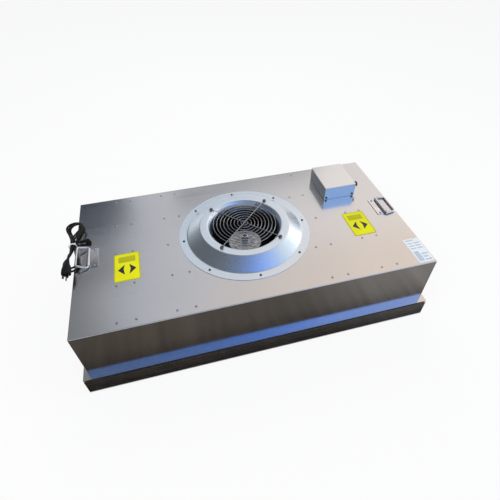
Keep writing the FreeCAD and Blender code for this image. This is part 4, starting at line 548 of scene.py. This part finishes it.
# ------------------------------------------------------------------------------------------
# Case
# Bright stainless sheet, folded to a tray with a flange along its foot. Four hat sections
# stiffen the panel from below and are held by blind rivets. Foam lines its walls.
# ------------------------------------------------------------------------------------------
bright_sheet = finish("bright_sheet", (0.60, 0.60, 0.61), 1.0, 0.20, (2.5, 420.0, 420.0), 0.000012,
                      0.05, 2.4, 0.035)
plain_sheet = finish("galvanised_sheet", (0.52, 0.53, 0.55), 1.0, 0.34, (12.0, 60.0, 60.0),
                     0.00003, 0.16, 14.0, 0.08)
liner = finish("liner_foam", (0.06, 0.06, 0.065), 0.0, 0.9, 260.0, 0.0006, 0.35, 20.0, 0.05)
plated = finish("plated_steel", (0.50, 0.51, 0.54), 1.0, 0.30, 600.0, 0.00003, 0.3, 120.0, 0.08)
dress(bright_sheet, "top_case")
dress(plain_sheet, "stiffener_left_outer", "stiffener_left_inner", "stiffener_right_inner",
      "stiffener_right_outer", "motor_bridge")
dress(liner, "liner_front", "liner_back", "liner_left", "liner_right")

heads_tree, given = group("fastener_heads", [
    ("Places", "NodeSocketGeometry", None), ("Head", "NodeSocketObject", None),
    ("Turn", "NodeSocketFloat", 3.1), ("Seed", "NodeSocketInt", 5),
    ("Material", "NodeSocketMaterial", None)])
pattern = add(heads_tree, "GeometryNodeObjectInfo", {"Object": (given, "Head")})
spin = add(heads_tree, "FunctionNodeRandomValue", {2: 0.0, 3: (given, "Turn"),
                                                   "Seed": (given, "Seed")}, data_type="FLOAT")
turned = add(heads_tree, "ShaderNodeCombineXYZ", {2: (spin, 1)})
heads = add(heads_tree, "GeometryNodeInstanceOnPoints", {
    "Points": (given, "Places"), "Instance": (pattern, "Geometry"), "Rotation": (turned, 0)})
close(heads_tree, (heads, 0), given)


def fasteners(name, section, places, paint, replaced, seed, cross=0.0):
    """Heads of one section on their places; cross is the half length of a cross recess."""
    head_mesh = skinned(name + "_head", [circle(radius, level, 20) for radius, level in section])
    if cross:
        shape = bmesh.new()
        shape.from_mesh(head_mesh)
        level = max(height for radius, height in section) - 0.0001
        for turn in (0.0, math.pi / 2):
            bar = bmesh.ops.create_cube(shape, size=1.0)["verts"]
            bmesh.ops.scale(shape, vec=(cross * 2, cross * 0.34, 0.0003), verts=bar)
            bmesh.ops.rotate(shape, matrix=Matrix.Rotation(turn, 3, "Z"), verts=bar)
            bmesh.ops.translate(shape, vec=(0.0, 0.0, level), verts=bar)
        shape.to_mesh(head_mesh)
        shape.free()
    head = bpy.data.objects.new(name + "_head", head_mesh)
    bpy.context.collection.objects.link(head)
    points = bpy.data.meshes.new(name)
    points.from_pydata(places, [], [])
    mesh = grown(name, heads_tree, {"Head": head, "Seed": seed, "Material": paint}, points)
    bpy.data.objects.remove(head)
    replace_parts(piece_of(name, mesh, paint, "base"), replaced)


# Blind rivets: a low dome with the broken mandrel sunk in its middle. They stand in pairs
# along each stiffener, save where the inlet or the control box is
rivet = [(0.0002, 0.0), (0.0042, 0.0), (0.00425, 0.0003), (0.0040, 0.0008), (0.0032, 0.00115),
         (0.0021, 0.0013), (0.0017, 0.0013), (0.0015, 0.0009), (0.0011, 0.0008), (0.0009, 0.0010),
         (0.0002, 0.00105)]
stiffener_middles, pair_offset, inlet_room, box_room = (0.241, 0.4115), 0.027, 0.236, 0.005
columns = [side * (middle + offset) for side in (-1, 1) for middle in stiffener_middles
           for offset in (-pair_offset, pair_offset)]
rows = (-0.280, -0.141, 0.0, 0.141, 0.280)
lid_low, lid_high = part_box("control_box_lid")
kept = [(x, y, panel_top) for x in columns for y in rows
        if math.hypot(x, y) > inlet_room
        and not (lid_low[0] - box_room < x < lid_high[0] + box_room
                 and lid_low[1] - box_room < y < lid_high[1] + box_room)]
fasteners("panel_rivet_heads", rivet, kept, plated, "panel_rivets", 3)

# ------------------------------------------------------------------------------------------
# Motor and fan
# An external-rotor motor on a folded bridge. Its cast cup carries a welded wheel with
# backward-curved blades, which draws the air down through the inlet.
# ------------------------------------------------------------------------------------------
casting = finish("cast_aluminium", (0.62, 0.62, 0.61), 0.85, 0.42, 260.0, 0.0004, 0.5, 70.0, 0.12)
wheel_black = finish("wheel_black", (0.016, 0.017, 0.019), 0.0, 0.42, 300.0, 0.0001, 0.3, 20.0, 0.1)
ground_steel = finish("ground_steel", (0.60, 0.60, 0.60), 1.0, 0.18, (400.0, 400.0, 20.0), 0.00002,
                      0.1, 60.0, 0.05)
dress(casting, "fan_rotor", "motor_stator")
dress(wheel_black, *[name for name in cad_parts
                     if name.startswith("impeller") and name != "impeller_screws"])
dress(ground_steel, "motor_shaft", "upper_bearing", "lower_bearing")
dress(plated, "impeller_screws", "motor_screws", "bridge_screws")

# A ground rim round the top of the rotor's boss
boss_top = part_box("fan_rotor")[1][2]
rim = [(0.0077, boss_top - 0.0020), (0.0077, boss_top + 0.0002), (0.0082, boss_top + 0.0006),
       (0.0114, boss_top + 0.0006), (0.0121, boss_top + 0.0001), (0.0121, boss_top - 0.0020)]
rings = [circle(radius, level, 64) for radius, level in rim]
piece_of("boss_rim", skinned("boss_rim", rings, closed=True), ground_steel, "fan")

# ------------------------------------------------------------------------------------------
# Inlet ring and finger guard
# The ring is spun from aluminium sheet: a flange, a cone, a crown and a bell mouth. The
# guard is round wire rings welded under two cross wires, bolted through eyes to the crown.
# ------------------------------------------------------------------------------------------
dark_plated = finish("blackened_steel", (0.12, 0.12, 0.13), 1.0, 0.34, 500.0, 0.00003, 0.3, 90.0,
                     0.08)
# Its colour is tinted blue as painted reflection of the blue skylights, on top of what the flats
# give
spun = finish("spun_aluminium_blue_reflection", (0.68, 0.76, 0.84), 1.0, 0.30, 160.0, 0.0, 0.05, 5.0, 0.03)


def eased(corners, radii, steps=6):
    """A line of points whose corners are rounded by arcs."""
    line = [Vector(corners[0])]
    for index, radius in enumerate(radii, 1):
        corner = Vector(corners[index])
        before = (Vector(corners[index - 1]) - corner).normalized()
        after = (Vector(corners[index + 1]) - corner).normalized()
        half = before.angle(after) / 2
        reach = radius / math.tan(half)
        middle = corner + (before + after).normalized() * radius / math.sin(half)
        start, stop = corner + before * reach - middle, corner + after * reach - middle
        for step in range(steps + 1):
            line.append(middle + start.lerp(stop, step / steps).normalized() * radius)
    return line + [Vector(corners[-1])]


def way(line, index):
    """The direction of a line of points at one of them."""
    return (line[min(index + 1, len(line) - 1)] - line[max(index - 1, 0)]).normalized()


# The section runs from the flange's edge in to the throat, as radius and height above the panel
sheet, crown_z, throat, throat_z, bell = 0.0014, 0.036, 0.114, 0.002, 0.0483
lip = math.asin((crown_z - throat_z) / bell)
curve = [(throat + bell - bell * math.cos(lip * step / 8),
          throat_z + bell * math.sin(lip * step / 8)) for step in range(7)]
top_line = eased([(0.228, sheet), (0.2008, sheet), (0.1547, crown_z), (0.1285, crown_z), curve[-1]],
                 [0.010, 0.007, 0.009]) + [Vector(point) for point in curve[-2::-1]]
under = []
for index, point in enumerate(top_line):
    along = way(top_line, index)
    under.append(point + Vector((along.y, -along.x)) * -sheet)
section = top_line + under[::-1]
rings = []
for turn in range(128):
    angle = 2 * math.pi * turn / 128
    rings.append([(point.x * math.cos(angle), point.x * math.sin(angle),
                   panel_top + max(point.y, 0.0)) for point in section])
inlet = piece_of("spun_inlet", skinned("spun_inlet", rings, closed=True), spun, "base")
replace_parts(inlet, "inlet_ring")

# Eight pan-head screws with cross recesses hold its flange
pan = [(0.0002, 0.0), (0.0040, 0.0), (0.0041, 0.0005), (0.0038, 0.0016), (0.0030, 0.0023),
       (0.0018, 0.0026), (0.0002, 0.0026)]
recess, screw_circle, screw_seat = 0.0022, 0.214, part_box("inlet_screws")[0][2]
fasteners("inlet_pan_screws", pan, circle(screw_circle, screw_seat, 8), dark_plated,
          "inlet_screws", 8, recess)

# The guard's rings, one pitch apart
tree, given = group("ring_guard", [
    ("Rings", "NodeSocketInt", 9), ("Pitch", "NodeSocketFloat", 0.012),
    ("Wire", "NodeSocketFloat", 0.0011), ("Level", "NodeSocketFloat", 0.0),
    ("Material", "NodeSocketMaterial", None)])
step = add(tree, "ShaderNodeCombineXYZ", {0: (given, "Pitch")})
sizes = add(tree, "GeometryNodeMeshLine", {"Count": (given, "Rings"), "Start Location": (step, 0),
                                          "Offset": (step, 0)})
number = add(tree, "GeometryNodeInputIndex")
ring_size = add(tree, "ShaderNodeMath", {0: (number, 0), 1: 1.0}, operation="ADD")
ring_size = add(tree, "ShaderNodeMath", {0: (ring_size, 0), 1: (given, "Pitch")},
                operation="MULTIPLY")
one = add(tree, "GeometryNodeCurvePrimitiveCircle", {"Resolution": 72, "Radius": 1.0})
level = add(tree, "ShaderNodeCombineXYZ", {2: (given, "Level")})
moved = add(tree, "GeometryNodeSetPosition", {"Geometry": (sizes, 0), "Position": (level, 0)})
wires = add(tree, "GeometryNodeInstanceOnPoints", {"Points": (moved, 0), "Instance": (one, 0),
                                                   "Scale": (ring_size, 0)})
lines = add(tree, "GeometryNodeRealizeInstances", {0: (wires, 0)})
profile = add(tree, "GeometryNodeCurvePrimitiveCircle", {"Resolution": 10,
                                                         "Radius": (given, "Wire")})
solid = add(tree, "GeometryNodeCurveToMesh", {"Curve": (lines, 0), "Profile Curve": (profile, 0)})
close(tree, (solid, 0), given)
wire_paint = finish("guard_plating", (0.42, 0.43, 0.45), 1.0, 0.28, 500.0, 0.00003, 0.25, 60.0,
                    0.06)
guard_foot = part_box("finger_guard")[0][2]
ring_mesh = grown("guard_rings", tree, {"Rings": 9, "Pitch": 0.012, "Wire": 0.0011,
                                        "Level": guard_foot + 0.0012, "Material": wire_paint})
guard_rings = piece_of("guard_rings", ring_mesh, wire_paint, "base")
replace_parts(guard_rings, "finger_guard")


def bent_wire(name, line, radius, sides):
    """A round wire along a line of points."""
    rings, up = [], None
    for index, point in enumerate(line):
        along = way(line, index)
        up = along.orthogonal() if up is None else up - along * up.dot(along)
        up.normalize()
        side = along.cross(up)
        rings.append([point + (up * math.cos(2 * math.pi * turn / sides)
                               + side * math.sin(2 * math.pi * turn / sides)) * radius
                      for turn in range(sides)])
    return skinned(name, rings)


def joined(name, meshes):
    """Several meshes as one."""
    shape = bmesh.new()
    for mesh in meshes:
        shape.from_mesh(mesh)
    whole = bpy.data.meshes.new(name)
    shape.to_mesh(whole)
    shape.free()
    return whole


# Two cross wires, the second a little lower so that it passes under the first. Each dips at
# its ends to an eye on the crown
cross_radius, eye_radius, eye_wire, end_dip, dip_from = 0.0012, 0.0056, 0.0013, 0.0014, 0.128
wires = []
cross_z = guard_foot + 0.0034
for turn, level in ((math.pi / 4, cross_z), (3 * math.pi / 4, cross_z - 0.0004)):
    arm = Vector((math.cos(turn), math.sin(turn), 0.0))
    line = []
    for share in (-0.1365, -0.131, -0.126, -0.121, -0.06, 0.0, 0.06, 0.121, 0.126, 0.131, 0.1365):
        drop = end_dip if abs(share) > dip_from else 0.0
        line.append(arm * share + Vector((0.0, 0.0, level - drop)))
    wires.append(bent_wire("cross_wire", line, cross_radius, 12))
    for side in (-1, 1):
        middle = arm * (0.140 * side) + Vector((0.0, 0.0, guard_foot + eye_wire))
        loop = [middle + Vector((math.cos(step * math.pi / 12), math.sin(step * math.pi / 12), 0.0))
                * eye_radius for step in range(25)]
        wires.append(bent_wire("guard_eye", loop, eye_wire, 10))
guard_cross = piece_of("guard_cross", joined("guard_cross", wires), wire_paint, "base")
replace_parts(guard_cross, "finger_guard")
dress(dark_plated, "guard_bolts")

# ------------------------------------------------------------------------------------------
# Control box
# A tray screwed to the panel and a lid over it, both folded from the case's sheet. It holds
# the terminal block and the run capacitor, and the speed control with its knob.
# ------------------------------------------------------------------------------------------
# The case's own steel, painted a little lighter than the panel as painted light, since the lid
# shows brighter
box_sheet = finish("box_sheet", (0.68, 0.68, 0.68), 1.0, 0.20, (2.5, 420.0, 420.0), 0.000012, 0.05,
                   5.0, 0.035)
dial_paint = finish("dial_plate", (0.78, 0.78, 0.80), 1.0, 0.24, 400.0, 0.00002, 0.08, 60.0, 0.05)
phenolic = finish("black_phenolic", (0.014, 0.014, 0.015), 0.0, 0.30, 700.0, 0.00005, 0.3, 60.0,
                  0.06)
grey_moulding = finish("grey_moulding", (0.62, 0.62, 0.60), 0.0, 0.45, 600.0, 0.00005, 0.08, 40.0,
                       0.05)
dress(box_sheet, "control_box_lid", "control_box_tray")
dress(dark_plated, "control_box_screws")
dress(plated, "box_fixing_screws", "knob_spindle")
dress(dial_paint, "speed_dial")
dress(phenolic, "speed_controller")
dress(grey_moulding, "terminal_block", "run_capacitor")
dress(rubber, "box_grommet")

# The knob: a skirt, a fluted grip and a softly rounded end
knob_low, knob_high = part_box("speed_knob")
knob_y, knob_z = (knob_low[1] + knob_high[1]) / 2, (knob_low[2] + knob_high[2]) / 2
knob_radius = (knob_high[1] - knob_low[1]) / 2
flutes, flute_depth = 20, 0.0005
rings = []
for share, size in ((0.0, 0.55), (0.0, 0.97), (0.08, 1.0), (0.16, 1.0), (0.20, 0.93), (0.86, 0.88),
                    (0.95, 0.84), (1.0, 0.76), (1.0, 0.05)):
    x = knob_low[0] + (knob_high[0] - knob_low[0]) * share
    ring = []
    for turn in range(120):
        angle = 2 * math.pi * turn / 120
        radius = knob_radius * size
        if 0.18 < share < 0.97 and radius > 0.01:
            radius += flute_depth * (math.cos(angle * flutes) - 1.0)
        ring.append((x, knob_y + radius * math.cos(angle), knob_z + radius * math.sin(angle)))
    rings.append(ring)
knob = piece_of("fluted_knob", skinned("fluted_knob", rings), phenolic, "speed_knob")
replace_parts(knob, "speed_knob")


def slab(low, high):
    """A box from corner to corner."""
    shape = bmesh.new()
    corners = bmesh.ops.create_cube(shape, size=1.0)["verts"]
    bmesh.ops.scale(shape, vec=[high[axis] - low[axis] for axis in range(3)], verts=corners)
    bmesh.ops.translate(shape, vec=[(high[axis] + low[axis]) / 2 for axis in range(3)],
                        verts=corners)
    mesh = bpy.data.meshes.new("slab")
    shape.to_mesh(mesh)
    shape.free()
    return mesh


# A white line inlaid in the knob's end
pointer = slab((knob_high[0] - 0.0002, knob_y - 0.0006, knob_z + 0.0015),
               (knob_high[0], knob_y + 0.0006, knob_z + 0.0080))
mark_paint = finish("mark_white", (0.82, 0.82, 0.82), 0.0, 0.4, 500.0, 0.0, 0.05, 60.0, 0.04)
piece_of("knob_pointer", pointer, mark_paint, "speed_knob", smooth=False)

# ------------------------------------------------------------------------------------------
# Drop handles
# A plate whose edge is rolled to a barrel, screwed to the panel, and a bail bent from round
# rod that turns in the barrel. Both are bright plated.
# ------------------------------------------------------------------------------------------
chrome = finish("bright_plating", (0.66, 0.665, 0.68), 1.0, 0.12, 300.0, 0.00002, 0.12, 40.0, 0.05)
dress(chrome, "left_handle_plate", "right_handle_plate")

# The right bail lies on the panel and the left one is propped up on the lead's hank
pivot_x, pivot_z, rod, swing_arm = 0.526, panel_top + 0.00558, 0.0035, 0.037
lying = math.asin((panel_top + 0.0003 + rod - pivot_z) / swing_arm)
half = [(0.0, 0.038), (0.0, 0.0476), (swing_arm, 0.042)]
line = eased(half + [(x, -y) for x, y in reversed(half)], [0.007] * 4, 8)
for name, side, angle in (("right_bail", 1, lying), ("left_bail", -1, math.radians(22.0))):
    points = [Vector((side * (pivot_x + point.x * math.cos(angle)), point.y,
                      pivot_z + point.x * math.sin(angle))) for point in line]
    bail = piece_of(name + "_rod", bent_wire(name + "_rod", points, rod, 20), chrome, name)
    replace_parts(bail, name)
for name in ("left_handle_screws", "right_handle_screws"):
    low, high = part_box(name)
    places = [((low[0] + high[0]) / 2, y, low[2]) for y in (-0.036, 0.036)]
    fasteners(name + "_heads", pan, places, plated, name, 11, recess)

# ------------------------------------------------------------------------------------------
# Plates on the panel
# Two thin yellow plates with a dark border and two black arrowheads tell which way the unit
# may be turned, and a white plate has pale blue fields for its data.
# ------------------------------------------------------------------------------------------
yellow = finish("plate_yellow", (0.80, 0.78, 0.004), 0.0, 0.38, 300.0, 0.00002, 0.10, 12.0, 0.05)
olive = finish("plate_border", (0.52, 0.50, 0.01), 0.0, 0.40, 300.0, 0.00002, 0.15, 20.0, 0.05)
for paint in (yellow, olive):
    paint.node_tree.nodes["Principled BSDF"].inputs["Specular IOR Level"].default_value = 0.1
print_black = finish("print_black", (0.012, 0.012, 0.012), 0.0, 0.45, 300.0, 0.0, 0.3, 30.0, 0.05)


def sheet_shape(outline, low, high):
    """A thin plate with the outline as its edge."""
    return skinned("plate", [[(x, y, low) for x, y in outline], [(x, y, high) for x, y in outline]])


def rounded(left, front, right, back, radius):
    """The outline of a rectangle with round corners."""
    outline = []
    for middle_x, middle_y, start in (
            (right - radius, back - radius, 0), (left + radius, back - radius, 90),
            (left + radius, front + radius, 180), (right - radius, front + radius, 270)):
        for step in range(7):
            angle = math.radians(start + 90 * step / 6)
            outline.append((middle_x + radius * math.cos(angle),
                            middle_y + radius * math.sin(angle)))
    return outline


# Each print lies a few hundredths of a millimetre over the one below it
border = 0.0035
for name in ("left_direction_plate", "right_direction_plate"):
    low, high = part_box(name)
    middle_x, middle_y, top = (low[0] + high[0]) / 2, (low[1] + high[1]) / 2, high[2]
    backing = sheet_shape(rounded(low[0], low[1], high[0], high[1], 0.006), low[2], top - 0.00012)
    face = sheet_shape(rounded(low[0] + border, low[1] + border, high[0] - border,
                               high[1] - border, 0.004), top - 0.00014, top - 0.00005)
    field = sheet_shape(rounded(middle_x - 0.027, middle_y + 0.020, middle_x + 0.027,
                                middle_y + 0.046, 0.002), top - 0.00006, top - 0.00003)
    arrows = []
    for side in (-1, 1):
        arrow = [(middle_x + side * x, middle_y + y) for x, y in (
            (0.029, -0.012), (0.007, 0.010), (0.011, -0.010), (0.007, -0.034))]
        arrows.append(sheet_shape(arrow, top - 0.00006, top))
    for part, mesh, paint, smooth in (
            ("_border", backing, olive, True), ("_face", face, yellow, True),
            ("_field", field, olive, True),
            ("_arrows", joined("arrows", arrows), print_black, False)):
        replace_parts(piece_of(name + part, mesh, paint, "base", smooth), name)

# The data plate: its fields are given as shares of its length and width
data_white = finish("data_plate", (0.80, 0.84, 0.87), 0.0, 0.34, 300.0, 0.00002, 0.04, 30.0, 0.05)
data_blue = finish("data_fields", (0.48, 0.58, 0.70), 0.0, 0.36, 300.0, 0.00002, 0.10, 60.0, 0.05)
low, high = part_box("rating_plate")
blank = sheet_shape(rounded(low[0], low[1], high[0], high[1], 0.003), low[2], high[2] - 0.00006)
data = piece_of("data_plate", blank, data_white, "base")
fields = []
for left, front, right, back in (
        (0.10, 0.90, 0.62, 0.955), (0.10, 0.78, 0.46, 0.83), (0.52, 0.78, 0.90, 0.83),
        (0.10, 0.67, 0.46, 0.72), (0.52, 0.67, 0.90, 0.72), (0.10, 0.56, 0.46, 0.61),
        (0.52, 0.56, 0.90, 0.61), (0.10, 0.06, 0.42, 0.46), (0.50, 0.06, 0.90, 0.12),
        (0.50, 0.18, 0.80, 0.24), (0.50, 0.30, 0.90, 0.36)):
    outline = [(low[0] + (high[0] - low[0]) * x, low[1] + (high[1] - low[1]) * y)
               for x, y in ((left, front), (right, front), (right, back), (left, back))]
    fields.append(sheet_shape(outline, high[2] - 0.00008, high[2]))
blanks = piece_of("data_fields", joined("data_fields", fields), data_blue, "base",
                  smooth=False)
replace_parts(data, "rating_plate")
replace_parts(blanks, "rating_plate")
